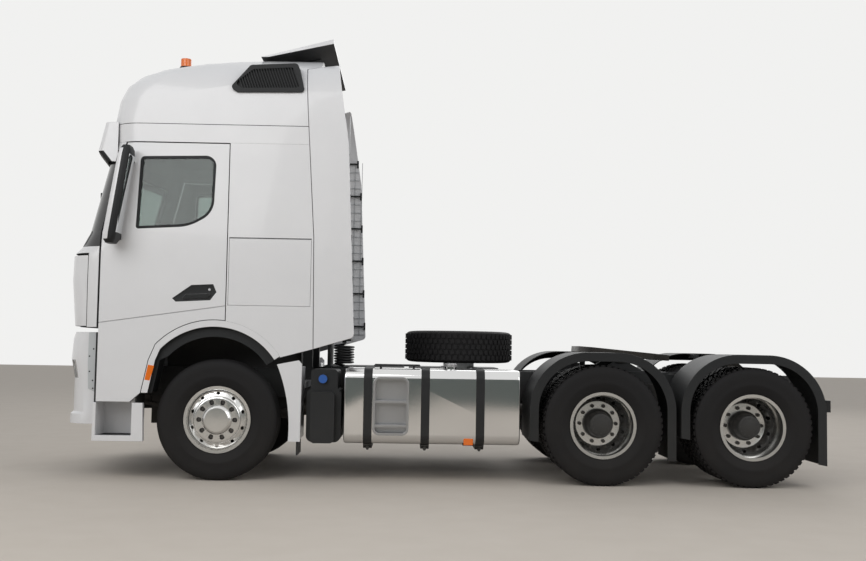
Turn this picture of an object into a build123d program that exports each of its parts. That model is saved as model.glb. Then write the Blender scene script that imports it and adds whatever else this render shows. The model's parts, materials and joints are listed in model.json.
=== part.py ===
from build123d import *
from math import cos, radians, sin, sqrt
import os

os.makedirs("parts", exist_ok=True)

# A six-by-four cab-over tractor unit with a high-roof sleeper cab, in millimetres.
# X runs forward, Y to the vehicle's left and Z up from the ground.
# The origin lies on the ground, halfway along and across the vehicle.

# Axle spacing and overhangs
FRONT_OVERHANG = 1475.0
WHEELBASE = 3450.0
TANDEM_SPACING = 1350.0
REAR_OVERHANG = 740.0
FRONT_AXLE_X = (WHEELBASE + TANDEM_SPACING + REAR_OVERHANG - FRONT_OVERHANG) / 2
DRIVE_AXLE_X = (FRONT_AXLE_X - WHEELBASE, FRONT_AXLE_X - WHEELBASE - TANDEM_SPACING)
REAR_END_X = DRIVE_AXLE_X[1] - REAR_OVERHANG

# Widths
HALF_WIDTH = 1245.0
PANEL = 50.0
INNER_HALF = HALF_WIDTH - PANEL
RAIL_HALF = 425.0

# Clearances
FIT = 0.3
PIN_FIT = 0.1
SEAM = 6.0

# Wheels and tyres
TYRE_RADIUS = 538.0
TYRE_WIDTH = 312.0
RIM_SEAT_RADIUS = 285.5
RIM_FLANGE_RADIUS = 298.5
RIM_HALF_WIDTH = 132.0
RIM_FLANGE = 10.5
RIM_WALL = 14.0
DISC_THICKNESS = 14.0
DISH_DEPTH = 75.0
HAND_HOLE_RADIUS = 26.0
HAND_HOLE_COUNT = 10
DISC_OFFSET = 175.0
TWIN_SPACING = 350.0
FRONT_TYRE_Y = 1050.0
OUTER_TYRE_Y = HALF_WIDTH - TYRE_WIDTH / 2
INNER_TYRE_Y = OUTER_TYRE_Y - TWIN_SPACING
AXLE_Z = TYRE_RADIUS
SPINDLE_RADIUS = 45.0

# Steering
KINGPIN_Y = 890.0
KINGPIN_RADIUS = 22.0
BOSS_RADIUS = 55.0
BOSS_HEIGHT = 120.0
STEER_ARM = 195.0
TIE_ROD_Y = KINGPIN_Y
TIE_ROD_Z = 440.0

# Frame
FRAME_TOP_Z = 990.0
FRAME_HEIGHT = 280.0
RAIL_FLANGE = 80.0
RAIL_WALL = 8.0
FRAME_FRONT_X = FRONT_AXLE_X + 1230.0
FRAME_REAR_X = REAR_END_X + 60.0
FRAME_BOTTOM_Z = FRAME_TOP_Z - FRAME_HEIGHT

# Cab shell
CAB_BOTTOM_Z = 1345.0
ROOF_SEAM_Z = 3018.0
CAB_BACK_X = FRONT_AXLE_X - 850.0
FRONT_BOW_RADIUS = 5000.0
CORNER_RADIUS = 300.0
SKIRT_BOTTOM_Z = 690.0

# Height of each cab section and its set-back behind the foremost panel
CAB_SECTIONS = (
    (SKIRT_BOTTOM_Z, 35.0),
    (CAB_BOTTOM_Z, 35.0),
    (1760.0, 0.0),
    (1990.0, 5.0),
    (2070.0, 75.0),
    (2203.0, 145.0),
    (ROOF_SEAM_Z, 345.0),
)

# Height of each roof section, set-back, half width and corner radius
ROOF_SECTIONS = (
    (ROOF_SEAM_Z, 345.0, HALF_WIDTH, CORNER_RADIUS),
    (3200.0, 335.0, HALF_WIDTH, CORNER_RADIUS),
    (3420.0, 370.0, 1235.0, 320.0),
    (3560.0, 430.0, 1212.0, 350.0),
    (3660.0, 530.0, 1172.0, 400.0),
    (3730.0, 660.0, 1118.0, 450.0),
    (3790.0, 835.0, 1035.0, 500.0),
    (3840.0, 1055.0, 945.0, 520.0),
    (3880.0, 1325.0, 855.0, 540.0),
)

# Wheel arch in the cab side: its centre from the axle, radius and band
ARCH_X = FRONT_AXLE_X + 35.0
ARCH_Z = 715.0
ARCH_RADIUS = 650.0
ARCH_BAND = 58.0
ARCH_LIP = 90.0
ARCH_FOOT_Z = 770.0
ARCH_REAR_ANGLE = 146.0
ARCH_FRONT_ANGLE = 43.0

# Doors
DOOR_FRONT_X = FRONT_AXLE_X + 1061.0
DOOR_REAR_X = FRONT_AXLE_X - 55.0
DOOR_TOP_Z = ROOF_SEAM_Z - 9.0
DOOR_BELT_Z = 2200.0
PILLAR_GAP = 17.0
PILLAR_RAKE = 0.245
HINGE_X = FRONT_AXLE_X + 1045.0
HINGE_Y = HALF_WIDTH - 23.0
HINGE_HEIGHTS = (1480.0, 2040.0)
HINGE_PIN_RADIUS = 8.0

# Cab tilt pivot
TILT_X = FRONT_AXLE_X + 1310.0
TILT_Z = 1080.0
TILT_PIN_RADIUS = 25.0

# Fifth wheel
FIFTH_X = DRIVE_AXLE_X[0] - 330.0
FIFTH_Z = 1128.0
FIFTH_REST_TILT = 5.0
KINGPIN_BORE_RADIUS = 26.0


def keep(piece, name):
    """Label a finished piece and write it as its own file."""
    piece.part.label = name
    export_step(piece.part, f"parts/{name}.step")


def plan_section(z, front_x, half, rear_x, corner, bow):
    """One level section of the cab: straight sides, a bowed front and round corners."""
    centre_x = front_x - bow
    corner_x = centre_x + sqrt((bow - corner) ** 2 - (half - corner) ** 2)
    corner_y = half - corner
    grow = bow / (bow - corner)
    touch = (centre_x + (corner_x - centre_x) * grow, corner_y * grow)
    middle = Vector(touch[0] - corner_x, touch[1] - corner_y).normalized() + Vector(0, 1)
    middle = middle.normalized() * corner
    mid = (corner_x + middle.X, corner_y + middle.Y)
    with BuildSketch(Plane.XY.offset(z)) as section:
        with BuildLine():
            Line((rear_x, -half), (corner_x, -half))
            ThreePointArc((corner_x, -half), (mid[0], -mid[1]), (touch[0], -touch[1]))
            ThreePointArc((touch[0], -touch[1]), (front_x, 0), touch)
            ThreePointArc(touch, mid, (corner_x, half))
            Line((corner_x, half), (rear_x, half))
            Line((rear_x, half), (rear_x, -half))
        make_face()
    return section.sketch


def cab_hull(inset):
    """The cab's lower body as a solid, inset from its outer skin."""
    sections = []
    for z, setback in CAB_SECTIONS:
        front_x = FRONT_AXLE_X + FRONT_OVERHANG - setback - inset
        sections.append(
            plan_section(z, front_x, HALF_WIDTH - inset, CAB_BACK_X + inset,
                         CORNER_RADIUS - inset, FRONT_BOW_RADIUS - inset)
        )
    with BuildPart(mode=Mode.PRIVATE) as hull:
        loft(sections, ruled=True)
    return hull.part


def roof_hull(inset, rear_x=CAB_BACK_X):
    """The roof above its seam as a solid, inset and lowered from its outer skin."""
    sections = []
    for z, setback, half, corner in ROOF_SECTIONS:
        front_x = FRONT_AXLE_X + FRONT_OVERHANG - setback - inset
        sections.append(
            plan_section(z - inset, front_x, half - inset, rear_x + inset,
                         corner - inset, FRONT_BOW_RADIUS - inset)
        )
    with BuildPart(mode=Mode.PRIVATE) as hull:
        loft(sections, ruled=True)
    return hull.part


def side_x(z, setback=0.0):
    """Where the slanting seam between cab side and rear fairing lies at a height."""
    return FRONT_AXLE_X - 848.0 + (z - 1180.0) * 0.0165 + max(0.0, z - 2180.0) * 0.05 - setback


def arch_edge(radius, leg, bottom):
    """Wheel arch edge from its rear end round to the bottom of its front leg."""
    rear = (ARCH_X + radius * cos(radians(ARCH_REAR_ANGLE)),
            ARCH_Z + radius * sin(radians(ARCH_REAR_ANGLE)))
    front = (ARCH_X + radius * cos(radians(ARCH_FRONT_ANGLE)),
             ARCH_Z + radius * sin(radians(ARCH_FRONT_ANGLE)))
    knee = (FRONT_AXLE_X + 609.0 + leg, 1060.0)
    foot = (FRONT_AXLE_X + 668.0 + leg, bottom)
    return rear, (ARCH_X, ARCH_Z + radius), front, knee, foot


cab_outer = cab_hull(0.0)
cab_inner = cab_hull(PANEL)
cab_shell = cab_outer - cab_inner


# Two coiled air hoses hang on a stand behind the cab.
HOSE_X = FRONT_AXLE_X - 1055.0
HOSE_LOW_Z = 1010.0
HOSE_HIGH_Z = 1240.0
HOSE_COIL_RADIUS = 100.0
HOSE_PLACES = (20.0, 250.0)
HOSE_POST = 135.0
HOSE_SHELF_Y = 135.0
HOSE_SHELF_WIDTH = 410.0

# The frame: two channel rails with cross members, air tanks hung below the left rail.
LAMP_BAR_DEPTH = 20.0 - 2 * FIT
CROSS_MEMBERS = (1150.0, -1700.0, -2620.0, -3450.0, -4125.0, -4800.0, -5440.0)
with BuildPart() as chassis_frame:
    for side in (1, -1):
        with BuildSketch(Plane.YZ.offset(FRAME_REAR_X)) as channel:
            with BuildLine():
                Polyline(
                    (side * RAIL_HALF, FRAME_BOTTOM_Z),
                    (side * RAIL_HALF, FRAME_TOP_Z),
                    (side * (RAIL_HALF - RAIL_FLANGE), FRAME_TOP_Z),
                    (side * (RAIL_HALF - RAIL_FLANGE), FRAME_TOP_Z - RAIL_WALL),
                    (side * (RAIL_HALF - RAIL_WALL), FRAME_TOP_Z - RAIL_WALL),
                    (side * (RAIL_HALF - RAIL_WALL), FRAME_BOTTOM_Z + RAIL_WALL),
                    (side * (RAIL_HALF - RAIL_FLANGE), FRAME_BOTTOM_Z + RAIL_WALL),
                    (side * (RAIL_HALF - RAIL_FLANGE), FRAME_BOTTOM_Z),
                    close=True,
                )
            make_face()
        extrude(amount=FRAME_FRONT_X - FRAME_REAR_X)
    for place in CROSS_MEMBERS:
        with Locations((FRONT_AXLE_X + place, 0, FRAME_TOP_Z - 110)):
            Box(60, 2 * (RAIL_HALF - RAIL_WALL - FIT), 160)
    # Brackets that carry the tilt pivot at the front of each rail
    for side in (1, -1):
        with BuildSketch(Plane.XZ.offset(-side * (RAIL_HALF - 20))) as ear:
            with BuildLine():
                Polyline((TILT_X - 190, FRAME_TOP_Z + FIT), (TILT_X - 45, TILT_Z), (TILT_X, TILT_Z + 45),
                         (TILT_X + 45, TILT_Z), (TILT_X + 20, FRAME_TOP_Z + FIT), close=True)
            make_face()
        extrude(amount=20, both=True)
        with Locations(Location((TILT_X, side * (RAIL_HALF + 30), TILT_Z), (90, 0, 0))):
            Cylinder(TILT_PIN_RADIUS, 130)
    # The beam that carries the back of the cab
    for side in (1, -1):
        with Locations((FRONT_AXLE_X - 720, side * (RAIL_HALF - 40), (FRAME_TOP_Z + FIT + CAB_BOTTOM_Z - 5) / 2)):
            Box(90, 80, CAB_BOTTOM_Z - 5 - FRAME_TOP_Z - FIT)
    with Locations((FRONT_AXLE_X - 720, 0, 1290)):
        Box(70, 2 * RAIL_HALF, 60)
    # The bar that carries the rear lamps
    with Locations((REAR_END_X + 50, 0, 734)):
        Box(LAMP_BAR_DEPTH, 2260, 60)
    with Locations((REAR_END_X + 50, 0, 780)):
        Box(LAMP_BAR_DEPTH, 2 * RAIL_HALF, 100)
    # The stand for the air hoses
    with Locations((HOSE_X + HOSE_POST, HOSE_SHELF_Y, (FRAME_TOP_Z + FIT + 1310) / 2)):
        Box(30, HOSE_SHELF_WIDTH, 1310 - FRAME_TOP_Z - FIT)
    for level in (HOSE_LOW_Z - 10, HOSE_HIGH_Z + 30):
        with Locations((HOSE_X + HOSE_POST / 4, HOSE_SHELF_Y, level)):
            Box(2 * HOSE_COIL_RADIUS + 20, HOSE_SHELF_WIDTH, 20)
    with Locations((HOSE_X + HOSE_POST, 0, FRAME_TOP_Z + FIT + 15)):
        Box(60, 2 * RAIL_HALF - 10, 30)
    for place in HOSE_PLACES:
        with Locations((HOSE_X, place, HOSE_HIGH_Z + 10)):
            Cylinder(14, 20)
keep(chassis_frame, "chassis_frame")

# Front axle beam, dropped between its kingpin bosses, with leaf springs on top.
BEAM_TOP_Z = 470.0
SPRING_Y = 400.0
with BuildPart() as front_axle:
    with BuildSketch(Plane.YZ.offset(FRONT_AXLE_X - 45)) as beam:
        with BuildLine():
            Polyline((-860, 586), (-700, 586), (-560, BEAM_TOP_Z), (560, BEAM_TOP_Z), (700, 586),
                     (860, 586), (860, 490), (720, 490), (590, 385), (-590, 385), (-720, 490),
                     (-860, 490), close=True)
        make_face()
    extrude(amount=90)
    for side in (1, -1):
        with Locations((FRONT_AXLE_X, side * KINGPIN_Y, AXLE_Z)):
            Cylinder(BOSS_RADIUS, BOSS_HEIGHT)
            Cylinder(KINGPIN_RADIUS + PIN_FIT, BOSS_HEIGHT, mode=Mode.SUBTRACT)
keep(front_axle, "front_axle")

# Leaf springs: front packs over the beam and rear packs over the tandem axles.
SPRING_WIDTH = 90.0
HANGER_TOP_Z = FRAME_BOTTOM_Z
DRIVE_SPRING_Y = 500.0
BOGIE_X = (DRIVE_AXLE_X[0] + DRIVE_AXLE_X[1]) / 2
with BuildPart() as leaf_springs:
    for side in (1, -1):
        with BuildSketch(Plane.XZ.offset(-side * SPRING_Y)) as pack:
            with BuildLine():
                Polyline(
                    (FRONT_AXLE_X - 850, 660), (FRONT_AXLE_X - 450, 590), (FRONT_AXLE_X, 560),
                    (FRONT_AXLE_X + 450, 590), (FRONT_AXLE_X + 850, 660), (FRONT_AXLE_X + 850, 625),
                    (FRONT_AXLE_X + 300, 530), (FRONT_AXLE_X + 90, BEAM_TOP_Z + FIT),
                    (FRONT_AXLE_X - 90, BEAM_TOP_Z + FIT), (FRONT_AXLE_X - 300, 530),
                    (FRONT_AXLE_X - 850, 625), close=True,
                )
            make_face()
        extrude(amount=SPRING_WIDTH / 2, both=True)
        for end in (-820, 820):
            with Locations((FRONT_AXLE_X + end, side * SPRING_Y, (HANGER_TOP_Z - FIT + 630) / 2)):
                Box(70, 50, HANGER_TOP_Z - FIT - 630)
        with BuildSketch(Plane.XZ.offset(-side * DRIVE_SPRING_Y)) as bogie:
            with BuildLine():
                Polyline(
                    (BOGIE_X - 740, 640), (BOGIE_X - 300, 730), (BOGIE_X + 300, 730),
                    (BOGIE_X + 740, 640), (BOGIE_X + 740, 613 + FIT), (BOGIE_X + 610, 613 + FIT),
                    (BOGIE_X + 200, 590), (BOGIE_X - 200, 590), (BOGIE_X - 610, 613 + FIT),
                    (BOGIE_X - 740, 613 + FIT), close=True,
                )
            make_face()
        extrude(amount=SPRING_WIDTH / 2, both=True)
        # Trunnion bracket on the rail web
        with Locations((BOGIE_X, side * (RAIL_HALF + FIT + 60), 790)):
            Box(300, 120, 200)
keep(leaf_springs, "leaf_springs")

# Drive axles: a round banjo, tubes out to the wheels and spindles inside the hubs.
TUBE_END_Y = 570.0
SPINDLE_END_Y = 1060.0
PINION_RISE = 45.0
with BuildPart() as drive_axles:
    for axle_x in DRIVE_AXLE_X:
        with Locations(Location((axle_x, 0, AXLE_Z), (0, 90, 0))):
            Cylinder(215, 260)
            Cylinder(150, 360)
        with Locations(Location((axle_x, 0, AXLE_Z), (90, 0, 0))):
            Cylinder(SPINDLE_RADIUS, 2 * SPINDLE_END_Y)
        with Locations((axle_x, 0, AXLE_Z)):
            Box(130, 2 * TUBE_END_Y, 150)
        with Locations(Location((axle_x + 250, 0, AXLE_Z + PINION_RISE), (0, 90, 0))):
            Cylinder(90, 300)
    # Reaction rods from each axle up to the frame
    for axle_x in DRIVE_AXLE_X:
        toward = 1 if axle_x < BOGIE_X else -1
        with BuildSketch(Plane.XZ) as rod:
            with BuildLine():
                Polyline((axle_x, 700), (axle_x + toward * 560, 775), (axle_x + toward * 560, 830),
                         (axle_x, 755), close=True)
            make_face()
        extrude(amount=30, both=True)
keep(drive_axles, "drive_axles")

# Engine block under the cab, with the gearbox and propeller shafts behind it.
ENGINE_LENGTH = 1300.0
ENGINE_HALF = 335.0
ENGINE_BOTTOM_Z = 500.0
ENGINE_TOP_Z = 1420.0
with BuildPart() as engine:
    with Locations((FRONT_AXLE_X, 0, (ENGINE_BOTTOM_Z + ENGINE_TOP_Z) / 2)):
        Box(ENGINE_LENGTH, 2 * ENGINE_HALF, ENGINE_TOP_Z - ENGINE_BOTTOM_Z)
    mount_reach = RAIL_HALF - RAIL_WALL - FIT
    for side in (1, -1):
        for place in (-560, 560):
            with Locations((FRONT_AXLE_X + place, side * (mount_reach + ENGINE_HALF - 5) / 2, 850)):
                Box(90, mount_reach - ENGINE_HALF + 5, 90)
keep(engine, "engine")

GEARBOX_FRONT_X = FRONT_AXLE_X - ENGINE_LENGTH / 2 - FIT
GEARBOX_LENGTH = 900.0
SHAFT_RADIUS = 55.0
with BuildPart() as driveline:
    with BuildSketch(Plane.YZ.offset(GEARBOX_FRONT_X)) as bell:
        with Locations((0, 740)):
            Circle(230)
    with BuildSketch(Plane.YZ.offset(GEARBOX_FRONT_X - GEARBOX_LENGTH)) as tail:
        with Locations((0, 740)):
            Circle(130)
    loft(ruled=True)
    shaft_from = Vector(GEARBOX_FRONT_X - GEARBOX_LENGTH + 20, 0, 740)
    shaft_to = Vector(DRIVE_AXLE_X[0] + 412, 0, AXLE_Z + PINION_RISE)
    run = shaft_to - shaft_from
    with Locations(Plane(origin=shaft_from, z_dir=run).location):
        Cylinder(SHAFT_RADIUS, run.length, align=(Align.CENTER, Align.CENTER, Align.MIN))
    with Locations(Location((BOGIE_X + 110, 0, AXLE_Z + PINION_RISE), (0, 90, 0))):
        Cylinder(SHAFT_RADIUS, TANDEM_SPACING - 580 - 2 * FIT)
keep(driveline, "driveline")

# Radiator in its frame between the rails, behind the lower grille.
RADIATOR_X = FRONT_AXLE_X + 860.0
RADIATOR_DEPTH = 120.0
with BuildPart() as radiator:
    with Locations((RADIATOR_X, 0, 1010)):
        Box(RADIATOR_DEPTH, 2 * (RAIL_HALF - RAIL_FLANGE - 5), 620)
        with Locations((RADIATOR_DEPTH / 2, 0, 0)):
            Box(40, 560, 520, mode=Mode.SUBTRACT)
    for side in (1, -1):
        with Locations((RADIATOR_X, side * (RAIL_HALF - 45), FRAME_TOP_Z + FIT + 30)):
            Box(80, 80, 60)
keep(radiator, "radiator")

# Bumper: a bowed shell with lamp pockets and an air intake between them.
BUMPER_HALF = 1180.0
BUMPER_TOP_Z = 1300.0
BUMPER_BOTTOM_Z = 486.0
BUMPER_BACK_X = FRONT_AXLE_X + 1095.0
BUMPER_WALL = 40.0
BUMPER_CORNER = 240.0
BUMPER_SECTIONS = (
    (BUMPER_BOTTOM_Z, 15.0),
    (570.0, 20.0),
    (590.0, 45.0),
    (880.0, 45.0),
    (1050.0, 12.0),
    (1240.0, 25.0),
    (BUMPER_TOP_Z, 42.0),
)
LAMP_LOW_Z = 890.0
LAMP_HIGH_Z = 1050.0
LAMP_INNER_Y = 620.0
LAMP_OUTER_Y = 1120.0
INTAKE_HALF = 540.0


def bumper_hull(inset):
    """The bumper's outline as a solid, inset from its outer skin."""
    sections = []
    for z, setback in BUMPER_SECTIONS:
        front_x = FRONT_AXLE_X + FRONT_OVERHANG - setback - inset
        sections.append(
            plan_section(z, front_x, BUMPER_HALF - inset, BUMPER_BACK_X,
                         BUMPER_CORNER - inset, FRONT_BOW_RADIUS - inset)
        )
    with BuildPart(mode=Mode.PRIVATE) as hull:
        loft(sections, ruled=True)
    return hull.part


bumper_outer = bumper_hull(0.0)
with BuildPart() as bumper:
    add(bumper_outer)
    add(bumper_hull(BUMPER_WALL), mode=Mode.SUBTRACT)
    with BuildSketch(Plane.YZ.offset(BUMPER_BACK_X + 60)) as pockets:
        for side in (1, -1):
            with Locations((side * (LAMP_INNER_Y + LAMP_OUTER_Y) / 2, (LAMP_LOW_Z + LAMP_HIGH_Z) / 2)):
                Rectangle(LAMP_OUTER_Y - LAMP_INNER_Y, LAMP_HIGH_Z - LAMP_LOW_Z)
    extrude(amount=600, mode=Mode.SUBTRACT)
    with BuildSketch(Plane.YZ.offset(BUMPER_BACK_X + 60)) as intake:
        for level in range(5):
            with Locations((0, 700 + level * 110)):
                Rectangle(2 * INTAKE_HALF, 80)
    extrude(amount=600, mode=Mode.SUBTRACT)
    # Stays from the rails out to the shell's back
    for side in (1, -1):
        with Locations((FRAME_FRONT_X + FIT + 75, side * (RAIL_HALF - 40), 820)):
            Box(150, 80, 210)
keep(bumper, "bumper")

with BuildPart() as lamps:
    with BuildSketch(Plane.YZ.offset(BUMPER_BACK_X + 60)) as lamp_faces:
        for side in (1, -1):
            with Locations((side * (LAMP_INNER_Y + LAMP_OUTER_Y) / 2, (LAMP_LOW_Z + LAMP_HIGH_Z) / 2)):
                Rectangle(LAMP_OUTER_Y - LAMP_INNER_Y - 2 * FIT, LAMP_HIGH_Z - LAMP_LOW_Z - 2 * FIT)
    extrude(amount=600)
    add(bumper_hull(3.0), mode=Mode.INTERSECT)
    add(bumper_hull(BUMPER_WALL + 20), mode=Mode.SUBTRACT)
    for side in (1, -1):
        with Locations((REAR_END_X + 20, side * 945, 734)):
            Box(40, 370, 106)
keep(lamps, "lamps")

# Entry steps on both sides, under the doors.
STEP_FRONT_X = FRONT_AXLE_X + 1090.0
STEP_REAR_X = FRONT_AXLE_X + 716.0
STEP_INNER_Y = 900.0
STEP_OUTER_Y = 1186.0
STEP_FACE = 51.0
STEP_BOTTOM_Z = 341.0
STEP_WALL = 14.0
with BuildPart() as entry_steps:
    for side in (1, -1):
        for level in (STEP_BOTTOM_Z, 740.0, 1050.0):
            with Locations(((STEP_FRONT_X + STEP_REAR_X) / 2, side * (STEP_INNER_Y + STEP_OUTER_Y) / 2, level + 20)):
                Box(STEP_FRONT_X - STEP_REAR_X, STEP_OUTER_Y - STEP_INNER_Y, 40)
        for wall_x in (STEP_FRONT_X - STEP_WALL / 2, STEP_REAR_X + STEP_WALL / 2):
            with Locations((wall_x, side * (STEP_INNER_Y + STEP_OUTER_Y) / 2, (STEP_BOTTOM_Z + 1300) / 2)):
                Box(STEP_WALL, STEP_OUTER_Y - STEP_INNER_Y, 1300 - STEP_BOTTOM_Z)
        with Locations(((STEP_FRONT_X + STEP_REAR_X) / 2, side * (STEP_INNER_Y + 7), (STEP_BOTTOM_Z + 1300) / 2)):
            Box(STEP_FRONT_X - STEP_REAR_X, STEP_WALL, 1300 - STEP_BOTTOM_Z)
        # A frame of its own closes the step box below the door skirt
        with BuildSketch(Plane.XZ.offset(-side * (STEP_OUTER_Y + FIT + STEP_FACE / 2))) as lower:
            with BuildLine():
                Polyline((STEP_FRONT_X, STEP_BOTTOM_Z), (FRONT_AXLE_X + 640, STEP_BOTTOM_Z),
                         (FRONT_AXLE_X + 650, 680), (STEP_REAR_X + 30, 680), (STEP_REAR_X + 30, STEP_BOTTOM_Z + 50),
                         (STEP_FRONT_X - 30, STEP_BOTTOM_Z + 50), (STEP_FRONT_X - 30, 680),
                         (STEP_FRONT_X, 680), close=True)
            make_face()
        extrude(amount=STEP_FACE / 2, both=True)
        # Arm to the frame rail
        with Locations(((STEP_FRONT_X + STEP_REAR_X) / 2 + 60, side * (RAIL_HALF + FIT + STEP_INNER_Y) / 2, 800)):
            Box(60, STEP_INNER_Y - RAIL_HALF - FIT, 80)
keep(entry_steps, "entry_steps")

# Fuel tank on the left, with its straps, brackets and steps.
TANK_FRONT_X = FRONT_AXLE_X - 1128.0
TANK_LENGTH = 1575.0
TANK_OUTER_Y = 1220.0
TANK_DEPTH = 680.0
TANK_BOTTOM_Z = 346.0
TANK_HEIGHT = 668.0
TANK_CORNER = 90.0
TANK_Y = TANK_OUTER_Y - TANK_DEPTH / 2
TANK_Z = TANK_BOTTOM_Z + TANK_HEIGHT / 2
STRAP_WIDTH = 77.0
STRAP_WALL = 6.0
STRAP_PLACES = (-1341.0, -1854.0, -2346.0)
STEP_FRAME_X = FRONT_AXLE_X - 1546.0
STEP_FRAME_LENGTH = 322.0
STEP_FRAME_Z = 683.0
STEP_FRAME_HEIGHT = 520.0
STEP_FRAME_DEPTH = 110.0
with BuildPart() as fuel_tank:
    with BuildSketch(Plane.YZ.offset(TANK_FRONT_X)) as tank_end:
        with Locations((TANK_Y, TANK_Z)):
            RectangleRounded(TANK_DEPTH, TANK_HEIGHT, TANK_CORNER)
    extrude(amount=-TANK_LENGTH)
    fillet(fuel_tank.edges().filter_by(GeomType.LINE, reverse=True).filter_by(Axis.X, reverse=True), 18)
    with BuildSketch(Plane.XZ.offset(-TANK_OUTER_Y)) as recess:
        with Locations((STEP_FRAME_X, STEP_FRAME_Z)):
            RectangleRounded(STEP_FRAME_LENGTH, STEP_FRAME_HEIGHT, 60)
    extrude(amount=STEP_FRAME_DEPTH, mode=Mode.SUBTRACT)
    with Locations((FRONT_AXLE_X - 2080, TANK_OUTER_Y - 150, TANK_BOTTOM_Z + TANK_HEIGHT + 20)):
        Cylinder(55, 50)
keep(fuel_tank, "fuel_tank")

with BuildPart() as tank_straps:
    for place in STRAP_PLACES:
        strap_x = FRONT_AXLE_X + place + STRAP_WIDTH / 2
        with BuildSketch(Plane.YZ.offset(strap_x)) as ring:
            with Locations((TANK_Y, TANK_Z)):
                RectangleRounded(TANK_DEPTH + 2 * (FIT + STRAP_WALL), TANK_HEIGHT + 2 * (FIT + STRAP_WALL),
                                 TANK_CORNER + FIT + STRAP_WALL)
                RectangleRounded(TANK_DEPTH + 2 * FIT, TANK_HEIGHT + 2 * FIT, TANK_CORNER + FIT,
                                 mode=Mode.SUBTRACT)
        extrude(amount=-STRAP_WIDTH)
        with BuildSketch(Plane.YZ.offset(strap_x)) as bracket:
            with BuildLine():
                Polyline(
                    (RAIL_HALF + FIT, FRAME_TOP_Z - 20),
                    (TANK_OUTER_Y - TANK_DEPTH - FIT - STRAP_WALL + 3, FRAME_TOP_Z - 120),
                    (TANK_OUTER_Y - TANK_DEPTH - FIT - STRAP_WALL + 3, TANK_BOTTOM_Z - FIT - 4),
                    (TANK_OUTER_Y - 70, TANK_BOTTOM_Z - FIT - 4),
                    (TANK_OUTER_Y - 110, TANK_BOTTOM_Z - 45),
                    (TANK_OUTER_Y - TANK_DEPTH - 60, TANK_BOTTOM_Z - 45),
                    (RAIL_HALF + FIT, FRAME_BOTTOM_Z), close=True,
                )
            make_face()
            with BuildSketch(mode=Mode.PRIVATE) as keep_out:
                with Locations((TANK_Y, TANK_Z)):
                    RectangleRounded(TANK_DEPTH + 2 * FIT, TANK_HEIGHT + 2 * FIT, TANK_CORNER + FIT)
            add(keep_out.sketch, mode=Mode.SUBTRACT)
        extrude(amount=-STRAP_WIDTH)
keep(tank_straps, "tank_straps")

STEP_TUBE = 22.0
with BuildPart() as tank_steps:
    with BuildSketch(Plane.XZ.offset(-TANK_OUTER_Y - 4)) as step_ring:
        with Locations((STEP_FRAME_X, STEP_FRAME_Z)):
            RectangleRounded(STEP_FRAME_LENGTH - 2 * FIT, STEP_FRAME_HEIGHT - 2 * FIT, 60 - FIT)
            RectangleRounded(STEP_FRAME_LENGTH - 2 * STEP_TUBE, STEP_FRAME_HEIGHT - 2 * STEP_TUBE,
                             60 - STEP_TUBE, mode=Mode.SUBTRACT)
    extrude(amount=STEP_FRAME_DEPTH)
    for bar_z in (720, 506):
        with Locations((STEP_FRAME_X, TANK_OUTER_Y - 45, bar_z)):
            Box(STEP_FRAME_LENGTH - 2 * STEP_TUBE, 90, STEP_TUBE)
    tread_x = FRONT_AXLE_X - 1597.0
    with Locations((tread_x, TANK_OUTER_Y - 210, TANK_BOTTOM_Z + TANK_HEIGHT + 28)):
        Box(418, 220, 12)
    for end in (-150, 150):
        with Locations((tread_x + end, TANK_OUTER_Y - 210, TANK_BOTTOM_Z + TANK_HEIGHT + FIT + 12)):
            Box(16, 200, 24)
keep(tank_steps, "tank_steps")

# Additive tank between the front wheel and the fuel tank.
ADDITIVE_FRONT_X = FRONT_AXLE_X - 790.0
ADDITIVE_LENGTH = 311.0
with BuildPart() as urea_tank:
    with BuildSketch(Plane.XZ.offset(-TANK_OUTER_Y + 60)) as body:
        with Locations((ADDITIVE_FRONT_X - ADDITIVE_LENGTH / 2, 590)):
            RectangleRounded(ADDITIVE_LENGTH, 480, 60)
        with Locations((ADDITIVE_FRONT_X - ADDITIVE_LENGTH / 2, 900)):
            RectangleRounded(ADDITIVE_LENGTH - 70, 200, 30)
    extrude(amount=440)
    with BuildSketch(Plane.XZ.offset(-TANK_OUTER_Y)) as cover:
        with Locations((ADDITIVE_FRONT_X - 147, 574)):
            RectangleRounded(214, 456, 40)
    extrude(amount=70)
    with Locations((ADDITIVE_FRONT_X - 156, (RAIL_HALF + FIT + TANK_OUTER_Y - 490) / 2, 760)):
        Box(160, TANK_OUTER_Y - 490 - RAIL_HALF - FIT, 90)
    with Locations(Location((ADDITIVE_FRONT_X - 145, TANK_OUTER_Y - 50, 915), (90, 0, 0))):
        Cylinder(38, 50)
keep(urea_tank, "urea_tank")

# Right side: silencer box ahead, battery box behind it.
SIDE_BOX_TABLE = ((-790.0, 860.0, 351.0, 1000.0), (-1700.0, 960.0, 400.0, 1000.0))
with BuildPart() as side_boxes:
    for front, length, low, high in SIDE_BOX_TABLE:
        with BuildSketch(Plane.YZ.offset(FRONT_AXLE_X + front)) as box_end:
            with Locations((-(TANK_OUTER_Y + 560) / 2, (low + high) / 2)):
                RectangleRounded(TANK_OUTER_Y - 560, high - low, 40)
        extrude(amount=-length)
        for place in (0.25, 0.75):
            with Locations((FRONT_AXLE_X + front - length * place, -(RAIL_HALF + FIT + 562) / 2, 800)):
                Box(80, 562 - RAIL_HALF - FIT, 120)
keep(side_boxes, "side_boxes")

# Spare wheel lying on a carrier over the frame.
SPARE_X = FRONT_AXLE_X - 2200.0
SPARE_Z = 1220.0
SPARE_SEAT_Z = SPARE_Z - 130.0


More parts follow.
